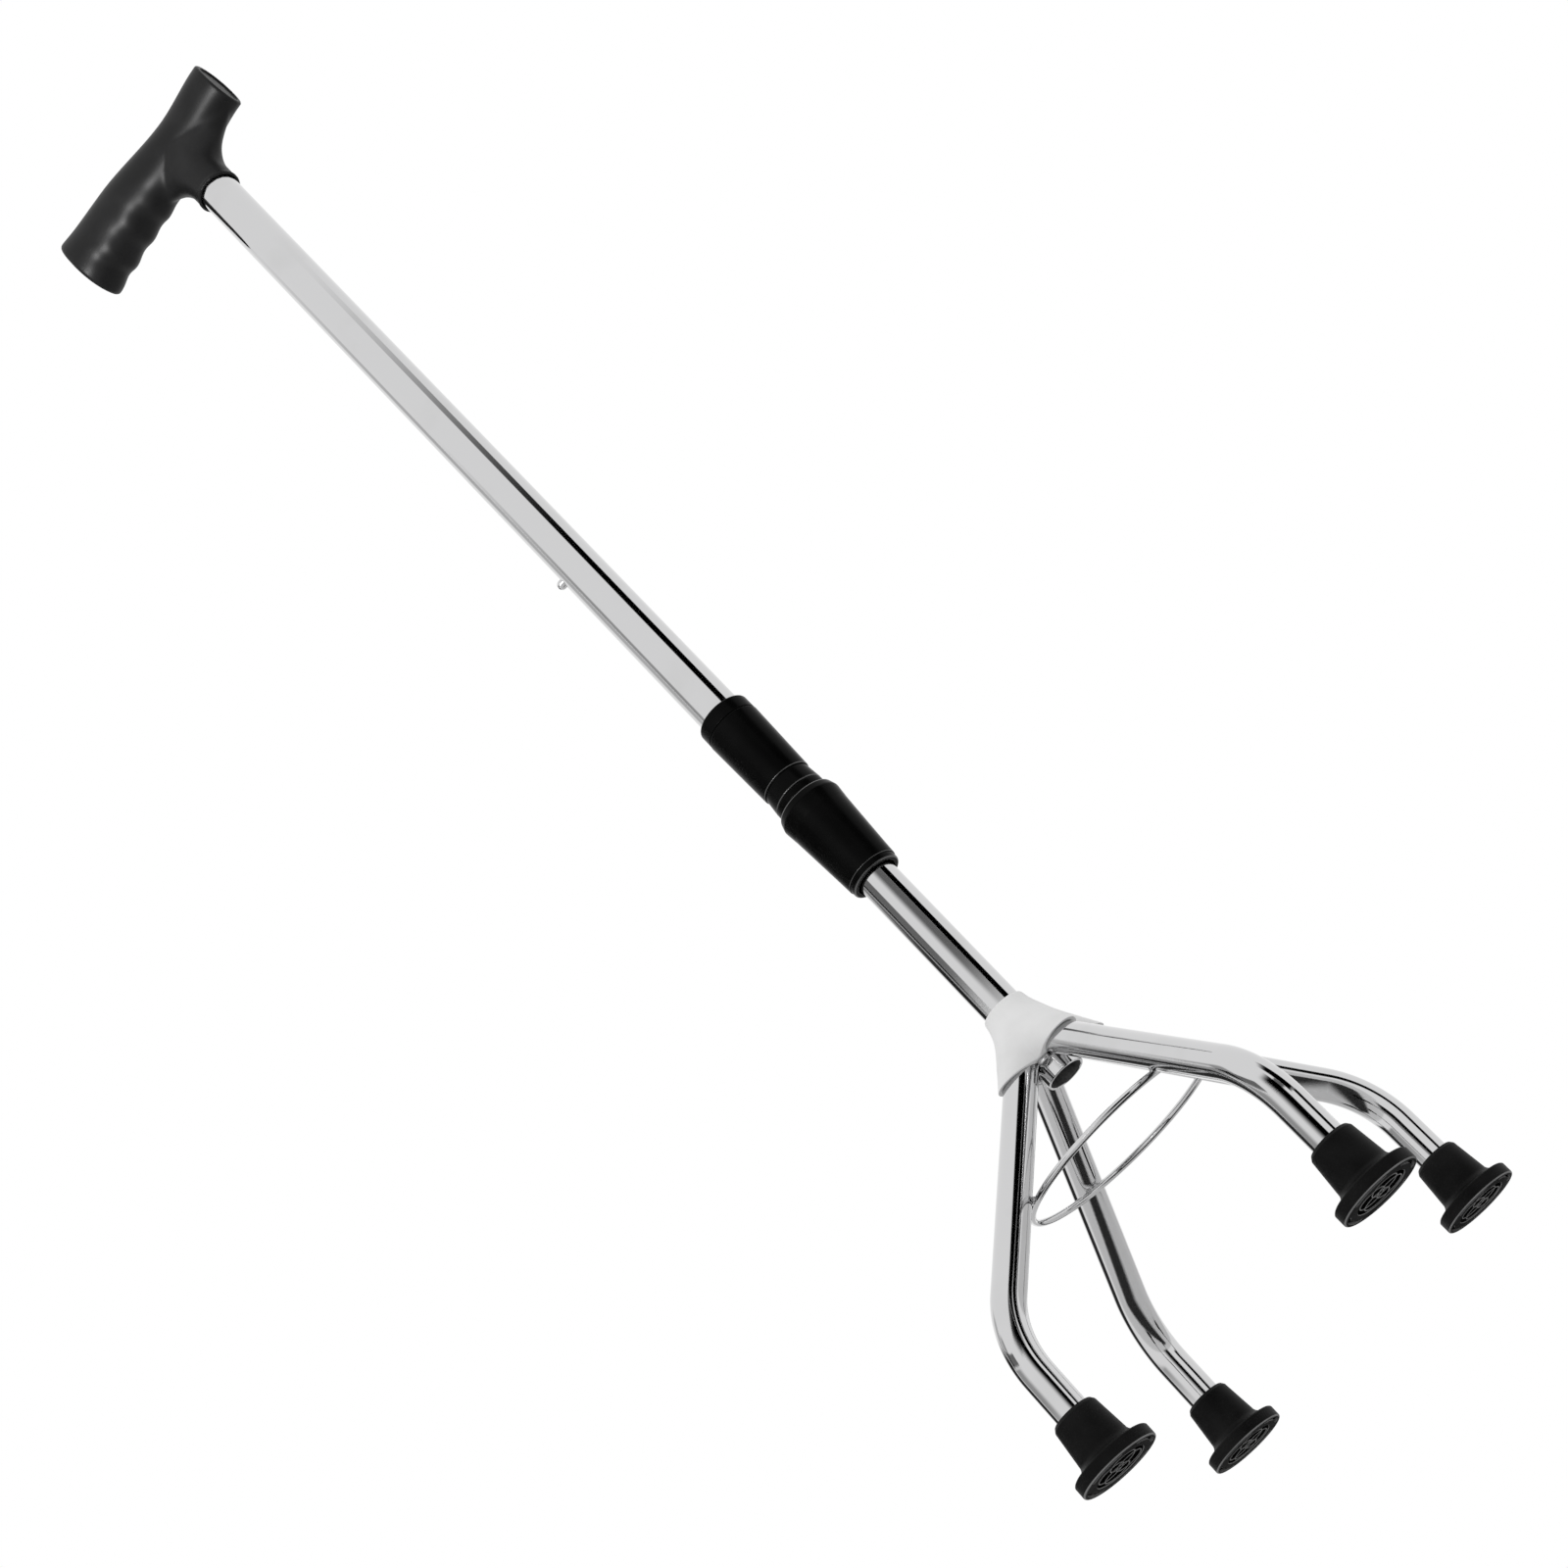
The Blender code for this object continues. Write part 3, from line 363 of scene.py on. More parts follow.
edgeAngle = 32.0  # from this angle on, in degrees, an edge is shaded sharp


def makePiece(name, verts, faces, look, sharp=edgeAngle, even=True):
    # even weighs its shading by the size of the faces
    mesh = bpy.data.meshes.new(name)
    fillMesh(mesh, verts, faces)
    mesh.materials.append(look)
    piece = addObject(name, mesh)
    shade(piece, sharp, even)
    return piece


def shade(piece, sharp, even):
    piece.data.shade_smooth()
    piece.data.set_sharp_from_angle(angle=math.radians(sharp))
    if even:
        piece.modifiers.new("evenShading", "WEIGHTED_NORMAL").keep_sharp = True
        applyModifiers(piece)


def applyModifiers(piece):
    bpy.context.view_layer.update()
    graph = bpy.context.evaluated_depsgraph_get()
    mesh = bpy.data.meshes.new_from_object(piece.evaluated_get(graph))
    old = piece.data
    piece.modifiers.clear()
    piece.data = mesh
    bpy.data.meshes.remove(old)
    mesh.name = piece.name


def trueNormals(piece, normalAt):
    # normalAt gives the exact normal of a face's corner, or nothing where the shading stays
    mesh = piece.data
    normals = [tuple(n.vector) for n in mesh.corner_normals]
    for face in mesh.polygons:
        for loop in face.loop_indices:
            exact = normalAt(mesh.vertices[mesh.loops[loop].vertex_index], face)
            if exact:
                normals[loop] = exact
    mesh.normals_split_custom_set(normals)


def cutter(name, verts, faces):
    piece = makePiece(name, verts, faces, gripPlastic, even=False)
    piece.hide_render = True
    return piece


def carve(piece, *cutters):
    for tool in cutters:
        cut = piece.modifiers.new("cut", "BOOLEAN")
        cut.operation = "DIFFERENCE"
        cut.solver = "EXACT"
        cut.object = tool
    applyModifiers(piece)
    for tool in cutters:
        bpy.data.objects.remove(tool, do_unlink=True)


def repaint(piece, looks, lookAt):
    # adds materials; lookAt gives the number of each face's own
    for look in looks:
        piece.data.materials.append(look)
    for face in piece.data.polygons:
        face.material_index = int(lookAt(face))


def settle(piece, slot, body, *replaced):
    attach(piece, body)
    if replaced:
        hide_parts(*replaced)


# The two tubes: plain walls with punched holes on the -X side
buttonHeight = 508 * mm
upperTubeSet = {
    "outer": 11.1 * mm, "inner": 9.9 * mm, "holes": [buttonHeight + 25 * n * mm for n in range(-3, 4)],
}
lowerTubeSet = {"outer": 9.6 * mm, "inner": 8.4 * mm, "holes": [buttonHeight]}
holeSet = {
    "radius": 2.9 * mm, "roll": 0.25 * mm, "sink": 0.15 * mm, "window": 4.2 * mm, "across": 5, "rows": 8,
    "columns": 72, "edge": 0.25 * mm,
}


def makeTube(name, tubeSet, body, node):
    # each hole stands in a window left out of the wall's grid, whose border is drawn in to the hole
    outer, inner, edge, window = tubeSet["outer"], tubeSet["inner"], holeSet["edge"], holeSet["window"]
    low, high = span(node)
    columns, across, rows = holeSet["columns"], holeSet["across"], holeSet["rows"]
    middle = columns // 2
    left, right = middle - across, middle + across
    verts, faces, levels, starts = [], [], [low + edge], []
    for hole in tubeSet["holes"]:
        starts.append(len(levels))
        levels += [hole + window * (2 * k / rows - 1) for k in range(rows + 1)]
    levels.append(high - edge)

    def ring(radius, z):
        verts.extend([(x, y, z) for x, y in spokes(columns, radius)])
        return range(len(verts) - columns, len(verts))

    walls = [[ring(radius, z) for z in levels] for radius in (outer, inner)]
    gone = {(r, c) for start in starts for r in range(start, start + rows) for c in range(left, right)}
    for wall in walls:
        for r in range(len(levels) - 1):
            faces += [quad for c, quad in enumerate(band(wall[r], wall[r + 1])) if (r, c) not in gone]
    for end, z in ((0, low), (-1, high)):
        loops = [walls[0][end], ring(outer - edge, z), ring(inner + edge, z), walls[1][end]]
        for one, two in zip(loops, loops[1:]):
            faces += band(one, two)
    small, wide, sink = holeSet["radius"], holeSet["radius"] + holeSet["roll"], holeSet["sink"]
    for start, hole in zip(starts, tubeSet["holes"]):
        border = [(start, c) for c in range(left, right)]
        border += [(r, right) for r in range(start, start + rows)]
        border += [(start + rows, c) for c in range(right, left, -1)]
        border += [(r, left) for r in range(start + rows, start, -1)]
        turns = [math.atan2((levels[r] - hole) / window, (c - middle) / across) for r, c in border]
        rims = [[walls[0][r][c] for r, c in border]]
        steps = ((outer, wide, 0), (outer, small, sink), (inner, small, -sink), (inner, wide, 0))
        for wall, size, drop in steps:
            rims.append(range(len(verts), len(verts) + len(turns)))
            for t in turns:
                y = size * math.cos(t)
                verts.append((drop - math.sqrt(wall ** 2 - y ** 2), -y, hole + size * math.sin(t)))
        rims.append([walls[1][r][c] for r, c in border])
        for one, two in zip(rims, rims[1:]):
            faces += band(one, two)
    tube = makePiece(name, verts, faces, chrome, even=False)
    repaint(tube, [bareBore], lambda face: face.center.xy.length < inner + 0.4 * edge)

    def wallNormal(vertex, face):
        # only the plain walls are shaded as true rounds, not the ends and the holes
        x, y, z = vertex.co
        away, faceAway = math.hypot(x, y), face.center.xy.length
        if abs(face.normal.z) < 0.05:
            if abs(away - outer) < mm / 1000 and faceAway > outer * 0.996:
                return (x / away, y / away, 0.0)
            if abs(away - inner) < mm / 1000 and faceAway < inner * 1.001:
                return (-x / away, -y / away, 0.0)

    trueNormals(tube, wallNormal)
    settle(tube, "chrome", body, node)


makeTube("upperTube", upperTubeSet, "upper", "outer_tube")
makeTube("lowerTube", lowerTubeSet, "base", "lower_tube")
print("tubes drawn")

# Snap button: a polished domed pin with a rolled foot
buttonSet = {
    "radius": 2.6 * mm, "tip": 15.0 * mm, "foot": 6.9 * mm, "flange": 3.4 * mm, "flangeThick": 0.8 * mm,
    "roll": 0.2 * mm, "domeSteps": 10, "segments": 32,
}


def makeButton():
    b = buttonSet
    radius, shoulder, flangeIn = b["radius"], b["tip"] - b["radius"], b["foot"] - b["flangeThick"]
    line = [(0.0, b["tip"])]
    line += [(radius * math.sin(t), shoulder + radius * math.cos(t)) for t in quarter(b["domeSteps"], 1)]
    line += rounded([
        (radius, shoulder), (radius, b["foot"], b["roll"]), (b["flange"], b["foot"], b["roll"]),
        (b["flange"], flangeIn, b["roll"]), (0.0, flangeIn),
    ], closed=False)[1:]
    verts, faces = turn(line, b["segments"], closed=False)
    return makePiece("snapButton", [(-z, y, x + buttonHeight) for x, y, z in verts], faces, chrome)


settle(makeButton(), "chrome", "button", "snap_button")

# Collar, from the top: cap, sleeve with its waist, stop ring, lock nut
collarShape = {
    "bore": 11.4 * mm, "cap": 13.9 * mm,
    "sleeveBottom": 342.7 * mm, "barrelTop": 14.1 * mm, "barrelLow": 13.15 * mm,
    "waistBottom": 333.3 * mm, "waist": 13.35 * mm, "waistTop": 12.55 * mm,
    "neck": 12.0 * mm, "neckBore": 10.2 * mm, "neckBottom": 300.9 * mm, "seat": 336.1 * mm,
    "stop": 13.35 * mm, "stopBore": 12.3 * mm,
}
nutShape = {
    "bore": 12.3 * mm, "base": 13.5 * mm, "shoulder": 16.35 * mm, "shoulderDrop": 4.5 * mm,
    "lip": 3.2 * mm, "step": 0.5 * mm, "mouth": 10.5 * mm, "taper": 13.7 * mm, "throat": 11.38 * mm,
}


def turnedPiece(name, corners, body, replaced, highlightBands=(), steps=5):
    # each band is (inner radius, low, high): outside that radius the edge between these heights gets a
    # painted highlight, in a lighter and glossier plastic
    verts, faces = turn(rounded(corners, steps))
    piece = makePiece(name, verts, faces, collarPlastic)

    def inHighlightBand(face):
        away, z = face.center.xy.length, face.center.z
        return any(away > inner and low < z < high for inner, low, high in highlightBands)

    # the listed edge bands take the painted highlight
    repaint(piece, [paintedHighlightEdge], inHighlightBand)
    settle(piece, "black_plastic", body, replaced)


def makeCollar():
    c = collarShape
    low, high = span("collar_cap")
    turnedPiece("collarCap", [
        (c["bore"], high, 0.35 * mm), (c["cap"], high, 2.0 * mm),
        (c["cap"], low, 0.45 * mm), (c["bore"], low, 0.1 * mm),
    ], "upper", "collar_cap", steps=8)
    high = span("collar_sleeve")[1]
    low, foot, waistFoot = c["neckBottom"], c["sleeveBottom"], c["waistBottom"]
    turnedPiece("collarSleeve", [
        (c["barrelTop"], high, 0.6 * mm), (c["barrelLow"], foot, 0.6 * mm),
        (c["waistTop"] - 0.25 * mm, foot, 0.25 * mm), (c["waistTop"], foot - 0.9 * mm, 0.8 * mm),
        (c["waist"], waistFoot + 0.3 * mm, 0.5 * mm), (c["waist"] - 0.35 * mm, waistFoot, 0.1 * mm),
        (c["neck"], waistFoot), (c["neck"], low, 0.3 * mm), (c["neckBore"], low, 0.3 * mm),
        (c["neckBore"], c["seat"]), (c["bore"], c["seat"]), (c["bore"], high, 0.2 * mm),
    ], "upper", "collar_sleeve", [
        (c["waistTop"] + 0.25 * mm, foot - 0.1 * mm, foot + 0.6 * mm),
        (c["waist"] - 0.3 * mm, waistFoot + 0.05 * mm, waistFoot + 0.75 * mm),
    ])
    low, high = span("stop_ring")
    turnedPiece("stopRing", [
        (c["stop"], high, 0.5 * mm), (c["stop"], low, 0.5 * mm),
        (c["stopBore"], low, 0.1 * mm), (c["stopBore"], high, 0.1 * mm),
    ], "upper", "stop_ring")


def makeNut():
    n = nutShape
    low, top = span("lock_nut")
    shoulder, lip = top - n["shoulderDrop"], low + n["lip"]
    turnedPiece("lockNut", [
        (n["bore"] + 0.9 * mm, top, 0.3 * mm), (n["shoulder"] - 1.3 * mm, top - 0.2 * mm, 1.3 * mm),
        (n["shoulder"], shoulder, 3.0 * mm), (n["shoulder"] - 0.75 * mm, shoulder - 7.5 * mm, 5.0 * mm),
        (n["base"] + 0.3 * mm, lip + 6.0 * mm, 4.0 * mm), (n["base"], lip + 0.1 * mm, 0.35 * mm),
        (n["base"] - n["step"], lip, 0.12 * mm), (n["base"] - n["step"], low, 0.8 * mm),
        (n["mouth"], low, 0.4 * mm), (n["mouth"], lip), (n["throat"], lip),
        (n["bore"], lip + n["taper"]), (n["bore"], top, 0.3 * mm),
    ], "nut", "lock_nut", [
        (n["shoulder"] - 1.9 * mm, top - 1.0 * mm, top),
        (n["base"] - 0.2 * mm, lip, lip + 0.55 * mm),
        (n["base"] - 1.2 * mm, low, low + 0.55 * mm),
    ])


makeCollar()
makeNut()
print("collar turned")

# Handle: a loft from the rear end to the nose, scalloped under the rear grip, grown together with its neck
gripShape = {
    "rear": 85.2 * mm, "nose": 42.0 * mm, "centre": 885.4 * mm, "flatness": 0.79, "square": 0.88,
    # place along X, height of the section and how far its middle is off the centre line, in mm
    "stations": [
        (-85.2, 43.2, -1.7), (-70.7, 41.4, -1.2), (-45.7, 40.2, 0), (4.0, 33.4, 0), (42.0, 33.4, 4.6),
    ],
    "rearRound": 2.2 * mm, "noseRound": 1.2 * mm, "sections": 120, "around": 96,
    "pitch": 17.0 * mm, "dip": 2.0 * mm, "firstDip": -39.7 * mm, "dipEnd": -15.54 * mm,
    "neck": 12.5 * mm, "rim": 0.45 * mm, "bottom": 841.3 * mm,
    # the rim's section from its foot: height, and how far it stays inside the rim's radius, in mm
    "rimSteps": ((0, 0.5), (0.15, 0.15), (0.5, 0), (1.7, 0), (2.1, 0.2), (2.3, 0.45)), "rimTop": 2.4 * mm,
    "bore": 11.4 * mm, "boreTop": 870.2 * mm, "mouthEdge": 0.4 * mm,
    # a throat's reach and height
    "throatRear": (15.0 * mm, 18.0 * mm), "throatNose": (30.0 * mm, 21.0 * mm),
    "steepest": 0.97, "throatRows": 48, "overlap": 0.6 * mm, "pinch": 0.7, "sideInset": 0.4 * mm,
    "closing": 0.7, "closingRows": 12,
    "voxel": 0.75 * mm, "evenRounds": 16,
    # the nose's recess and the notch in its rim: place along X against inset or half width, in mm
    "recess": ((-1.0, 3.6), (-0.7, 3.2), (-0.25, 3.15), (0.1, 2.85), (1.0, 2.85)),
    "notch": ((-0.9, 0.45), (1.0, 0.7)), "notchDepth": 4.2 * mm,
}
# Where the neck opens into the body, two valleys are softened between the neck and these ends
valleySet = {
    "neck": 9 * mm, "nose": 40 * mm, "rear": 34 * mm, "fade": 4 * mm,
    "level": 0.9, "band": 7 * mm, "reach": 1.3, "rounds": 24,
}
# Shares of the way to a point's neighbours
evenSet = {"relax": 0.6, "shrink": 0.5, "grow": -0.52}


def gripSize(x):
    # half height and middle height of the body's section at x
    for (x0, h0, c0), (x1, h1, c1) in zip(gripShape["stations"], gripShape["stations"][1:]):
        if x <= x1 * mm:
            break
    t = smooth((x / mm - x0) / (x1 - x0))
    return (h0 + (h1 - h0) * t) / 2 * mm, gripShape["centre"] + (c0 + (c1 - c0) * t) * mm


def gripRow(x, inset=0.0):
    g = gripShape
    half, centre = gripSize(x)
    fingers = smooth((x + g["rear"]) / g["pitch"]) * smooth((g["dipEnd"] - x) / g["pitch"])
    dip = g["dip"] * fingers * (0.5 + 0.5 * math.cos(math.tau * (x - g["firstDip"]) / g["pitch"]))
    shrink = 1 - inset / half
    row = []
    for c, s in spokes(g["around"]):
        y = math.copysign(abs(c) ** g["square"], c) * half * g["flatness"]
        z = math.copysign(abs(s) ** g["square"], s) * half
        under = dip * max(0.0, -s) ** 1.5
        row.append((x, y * shrink * (1 - 0.5 * under / half), centre + z * shrink + under))
    return row


def neckRow(z, front, rear, side):
    # a level section, drawn in towards its two ends as far as they reach past the rim
    rim = gripShape["neck"] + gripShape["rim"]
    row = []
    for c, s in spokes(gripShape["around"]):
        reach = front if c > 0 else rear
        pinch = gripShape["pinch"] * max(reach - rim, 0.0) / reach
        row.append((reach * c, side * s * (1 - pinch * c * c), z))
    return row


def throatReach(throat, start, z):
    # a throat opens as a quarter of an ellipse that starts upright
    reach, height = throat
    rise = min(max((z - start) / height, 0.0), gripShape["steepest"])
    return reach * (1 - math.sqrt(1 - rise ** 2))


def gripRows():
    g = gripShape
    rear, nose, count = g["rearRound"], g["noseRound"], g["sections"]
    start, end = -g["rear"] + rear, g["nose"] - nose
    rows = [gripRow(-g["rear"] + rear * (1 - math.cos(a)), rear * (1 - math.sin(a))) for a in quarter(6)]
    rows += [gripRow(start + (end - start) * k / count) for k in range(1, count)]
    rows += [gripRow(end + nose * math.sin(a), nose * (1 - math.cos(a))) for a in quarter(5)]
    return rows


def neckRows():
    g = gripShape
    neck, rim, low = g["neck"], g["neck"] + g["rim"], g["bottom"]
    (rearReach, rearHeight), (noseReach, noseHeight) = g["throatRear"], g["throatNose"]
    rearHalf, rearCentre = gripSize(-neck - rearReach)
    noseHalf, noseCentre = gripSize(neck + noseReach / 2)
    rearStart = rearCentre - rearHalf - rearHeight + g["overlap"]
    noseStart = noseCentre - noseHalf - noseHeight + g["overlap"]
    sideHigh = gripSize(0)[0] * g["flatness"] - g["sideInset"]
    rows = [neckRow(low + height * mm, *[rim - inset * mm] * 3) for height, inset in g["rimSteps"]]
    first, last = min(rearStart, noseStart), max(rearStart + rearHeight, noseStart + noseHeight)
    for k in range(g["throatRows"] + 1):
        t = k / g["throatRows"]
        z = first + (last - first) * t
        rear, front = throatReach(g["throatRear"], rearStart, z), throatReach(g["throatNose"], noseStart, z)
        if z > low + g["rimTop"]:
            rows.append(neckRow(z, neck + front, neck + rear, neck + (sideHigh - neck) * smooth(t)))
    # inside the body the throats close again
    for k in range(1, g["closingRows"] + 1):
        t = k / g["closingRows"]
        share = 1 - g["closing"] * t
        z = last + (g["centre"] - last) * t
        rows.append(neckRow(z, neck + front * share, neck + rear * share, sideHigh))
    return rows


def evened(mesh, rounds, weights=None):
    # evens out a mesh without shrinking it; with weights it only relaxes those points
    count = len(mesh.vertices)
    spots = pointArray(mesh)
    ends = np.empty(len(mesh.edges) * 2, dtype=int)
    mesh.edges.foreach_get("vertices", ends)
    a, b = ends[0::2], ends[1::2]
    degree = np.bincount(ends, minlength=count)[:, None].astype(float)
    for k in range(rounds):
        total = np.zeros_like(spots)
        for axis in range(3):
            total[:, axis] = np.bincount(a, spots[b, axis], count) + np.bincount(b, spots[a, axis], count)
        pull = total / degree - spots
        if weights is None:
            spots = spots + evenSet["grow" if k % 2 else "shrink"] * pull
        else:
            spots = spots + evenSet["relax"] * pull * weights[:, None]
    mesh.vertices.foreach_set("co", spots.ravel())
    mesh.update()


def pointArray(mesh):
    spots = np.empty(len(mesh.vertices) * 3)
    mesh.vertices.foreach_get("co", spots)
    return spots.reshape(-1, 3)


def valleyWeights(spots):
    v = valleySet
    half, centre = np.array([gripSize(x) for x in spots[:, 0]]).T
    near = np.abs(spots[:, 2] - (centre - half * v["level"])) / v["band"]
    weights = np.clip(v["reach"] - near, 0, 1)
    for gap in (np.abs(spots[:, 0]) - v["neck"], v["nose"] - spots[:, 0], spots[:, 0] + v["rear"]):
        weights *= np.clip(gap / v["fade"], 0, 1)
    return weights


def handleCutters():
    g = gripShape
    bore, low, past, edge = g["bore"], g["bottom"], 5 * mm, g["mouthEdge"]
    socket = turn([
        (0, low - past), (bore + edge, low - past), (bore + edge, low), (bore, low + edge),
        (bore, g["boreTop"]), (0, g["boreTop"]),
    ], closed=False)
    recess = [[(g["nose"] + along * mm, y, z) for x, y, z in gripRow(g["nose"], inset * mm)]
              for along, inset in g["recess"]]
    half, centre = gripSize(g["nose"])
    side, notch = half * g["flatness"], []
    for along, wide in g["notch"]:
        corners = ((-g["notchDepth"], -wide), (mm, -wide), (mm, wide), (-g["notchDepth"], wide))
        notch.append([(g["nose"] + along * mm, side + y, centre + z * mm) for y, z in corners])
    return [cutter("cutHandle", *form) for form in (socket, skin(recess), skin(notch))]


def makeHandle():
    bodyVerts, bodyFaces = skin(gripRows())
    neckVerts, neckFaces = skin(neckRows())
    faces = bodyFaces + [tuple(i + len(bodyVerts) for i in face) for face in neckFaces]
    handle = makePiece("handleGrip", bodyVerts + neckVerts, faces, gripPlastic, even=False)
    remesh = handle.modifiers.new("grown", "REMESH")
    remesh.mode = "VOXEL"
    remesh.voxel_size = gripShape["voxel"]
    applyModifiers(handle)
    evened(handle.data, gripShape["evenRounds"])
    evened(handle.data, valleySet["rounds"], valleyWeights(pointArray(handle.data)))
    carve(handle, *handleCutters())
    shade(handle, edgeAngle, even=False)
    settle(handle, "grip_plastic", "upper", "handle_grip")


makeHandle()
print("handle moulded")

# Base: four bent pipes under a moulded cover
legSet = {
    "radius": 7.5 * mm, "bore": 6.3 * mm, "meeting": 176.2 * mm, "bend": 48.0 * mm,
    "spread": (74.0 * mm, 80.0 * mm), "end": 8.6 * mm, "tube": 9.9 * mm, "mitre": 0.2 * mm,
    "straight": 24.0 * mm, "steps": 28, "around": 64,
}
footRadius = math.hypot(*legSet["spread"])
footAzimuth = math.atan2(legSet["spread"][1], legSet["spread"][0])
azimuths = {
    "front_right": -footAzimuth, "front_left": footAzimuth,
    "rear_right": footAzimuth - math.pi, "rear_left": math.pi - footAzimuth,
}
diagonal = math.sqrt(0.5)  # the legs leave the tube at 45 degrees


def legRows(wall, azimuth):
    # rows of points down the pipe and their exact normals
    steps = legSet["steps"]
    ca, sa = polar(1, azimuth)
    centreR = footRadius - legSet["bend"]
    centreZ = legSet["meeting"] - footRadius - legSet["bend"] * math.tan(math.radians(22.5))
    side = min(abs(ca), abs(sa)) / max(abs(ca), abs(sa))
    leans = [math.radians(45)] * 2 + [math.radians(45 * (1 - k / steps)) for k in range(steps + 1)] + [0.0]
    rows, normals = [], []
    for index, lean in enumerate(leans):
        row, out = [], []
        for c, s in spokes(legSet["around"]):
            if index == 0:
                # cut to the tube's side and to the neighbouring legs
                tubeSide = math.sqrt(legSet["tube"] ** 2 - (wall * s) ** 2)
                neighbour = abs(wall * s) / side + legSet["mitre"]
                r = max(tubeSide, neighbour) - wall * c * diagonal
                z = legSet["meeting"] - r
            elif index == 1:
                r, z = legSet["straight"], legSet["meeting"] - legSet["straight"]
            elif index < len(leans) - 1:
                r = centreR + legSet["bend"] * math.cos(lean)
                z = centreZ + legSet["bend"] * math.sin(lean)
            else:
                r, z = footRadius, legSet["end"]
            outR, outZ = math.cos(lean) * c, math.sin(lean) * c
            r, z, across = r + wall * outR, z + wall * outZ, wall * s
            row.append((r * ca - across * sa, r * sa + across * ca, z))
            out.append((outR * ca - s * sa, outR * sa + s * ca, outZ))
        rows.append(row)
        normals.append(out)
    return rows, normals


def makeLeg(name, azimuth):
    outerRows, outerNormals = legRows(legSet["radius"], azimuth)
    innerRows, innerNormals = legRows(legSet["bore"], azimuth)
    rows = outerRows + innerRows[::-1]
    leg = makePiece("legPipe_" + name, *skin(rows, closed=True), chrome, even=False)
    exact = [n for row in outerNormals for n in row]
    exact += [tuple(-x for x in n) for row in innerNormals[::-1] for n in row]
    ends = (len(outerRows) - 1, len(rows) - 1)

    def pipeNormal(vertex, face):
        return None if face.index // legSet["around"] in ends else exact[vertex.index]

    trueNormals(leg, pipeNormal)
    settle(leg, "chrome", "base", "leg_" + name)


for name, azimuth in azimuths.items():
    makeLeg(name, azimuth)

# Hub cover: level sections of a cone round the tube that spreads into a lobe over each leg
coverSet = {
    "above": 13.6 * mm, "below": 18.3 * mm, "topWall": 1.1 * mm,
    "coneFlare": 3.0 * mm, "skirtFlare": 4.0 * mm,
    "lobeWall": 1.8 * mm, "lobeSwell": 3.8 * mm, "gap": 0.3 * mm, "blend": 9.0,
    "snug": 0.04 * mm, "boreBlend": 24, "topRound": 0.6 * mm, "lowRound": 0.5 * mm, "boreEdge": 0.2 * mm,
    "around": 176, "levels": 40,
    # the outside is evened out over these angles, in degrees, with these shares
    "evening": ((-7, 1), (-3.5, 2), (0, 3), (3.5, 2), (7, 1)),
}
coverTop = legSet["meeting"] + coverSet["above"]
coverLow = legSet["meeting"] - coverSet["below"]


def lobeReach(angle, azimuth, centre, radius):
    # far side of a leg's slanted round section, seen from the tube's axis
    c, s = polar(1, angle - azimuth)
    long, wide = radius / diagonal, radius
    a = (c / long) ** 2 + (s / wide) ** 2
    b = -centre * c / long ** 2
    inside = b * b - a * ((centre / long) ** 2 - 1)
    if inside <= 0 or c <= 0:
        return 0.0
    return max((math.sqrt(inside) - b) / a, 0.0)


def blended(angle, z, core, radius, power):
    # a round core and the four lobes, run together
    total = core ** power
    for azimuth in azimuths.values():
        total += lobeReach(angle, azimuth, legSet["meeting"] - z, radius) ** power
    return total ** (1 / power)


def coverReach(angle, z):
    s = coverSet
    drop = (coverTop - z) / (s["above"] + s["below"])
    flare = s["coneFlare"] * drop + (s["skirtFlare"] - s["coneFlare"]) * smooth(drop)
    radius = legSet["radius"] + s["gap"] + s["lobeWall"] + s["lobeSwell"] * (1 - drop)
    return blended(angle, z, legSet["tube"] + s["topWall"] + flare, radius, s["blend"])


def evenReach(angle, z):
    reaches = [share * coverReach(angle + math.radians(offset), z) for offset, share in coverSet["evening"]]
    return sum(reaches) / sum(share for offset, share in coverSet["evening"])


def boreReach(angle, z):
    return blended(angle, z, legSet["tube"], legSet["radius"] + coverSet["snug"], coverSet["boreBlend"])


def edgeSteps(fillet):
    # how far a rounded edge is drawn in, and how far from its end
    return [(-fillet * (1 - math.cos(t)), fillet * (1 - math.sin(t))) for t in quarter(4)]


def levelRow(reachAt, z, grow=0.0):
    # reachAt gives the reach from the tube's axis at an angle and a height
    return [(*polar(reachAt(angle, z) + grow, angle), z) for angle in circle(coverSet["around"], 0.5)]


def makeCover():
    s = coverSet
    levels, topRound, lowRound, boreEdge = s["levels"], s["topRound"], s["lowRound"], s["boreEdge"]
    outside = coverTop - coverLow - topRound - lowRound
    bore = coverTop - coverLow - lowRound - boreEdge
    rows = [levelRow(evenReach, coverTop - rise, grow) for grow, rise in edgeSteps(topRound)[::-1]]
    rows += [levelRow(evenReach, coverTop - topRound - outside * k / levels) for k in range(1, levels)]
    rows += [levelRow(evenReach, coverLow + rise, grow) for grow, rise in edgeSteps(lowRound)]
    rows.append(levelRow(boreReach, coverLow, lowRound))
    rows += [levelRow(boreReach, coverLow + lowRound + bore * k / levels) for k in range(levels + 1)]
    rows.append(levelRow(boreReach, coverTop, boreEdge))
    cover = makePiece("hubCover", *skin(rows, closed=True), hubPlastic, sharp=38.0)
    settle(cover, "grey_plastic", "base", "hub_cover")


makeCover()
print("legs bent, cover moulded")

# Brace ring: a bent wire, tacked to the inner side of each leg
ringSet = {
    "wire": 1.6 * mm, "radius": 51.9 * mm, "centre": (0.0, -4.6 * mm, 111.02 * mm), "tilt": 5.1,
    "around": 20, "along": 180,
}
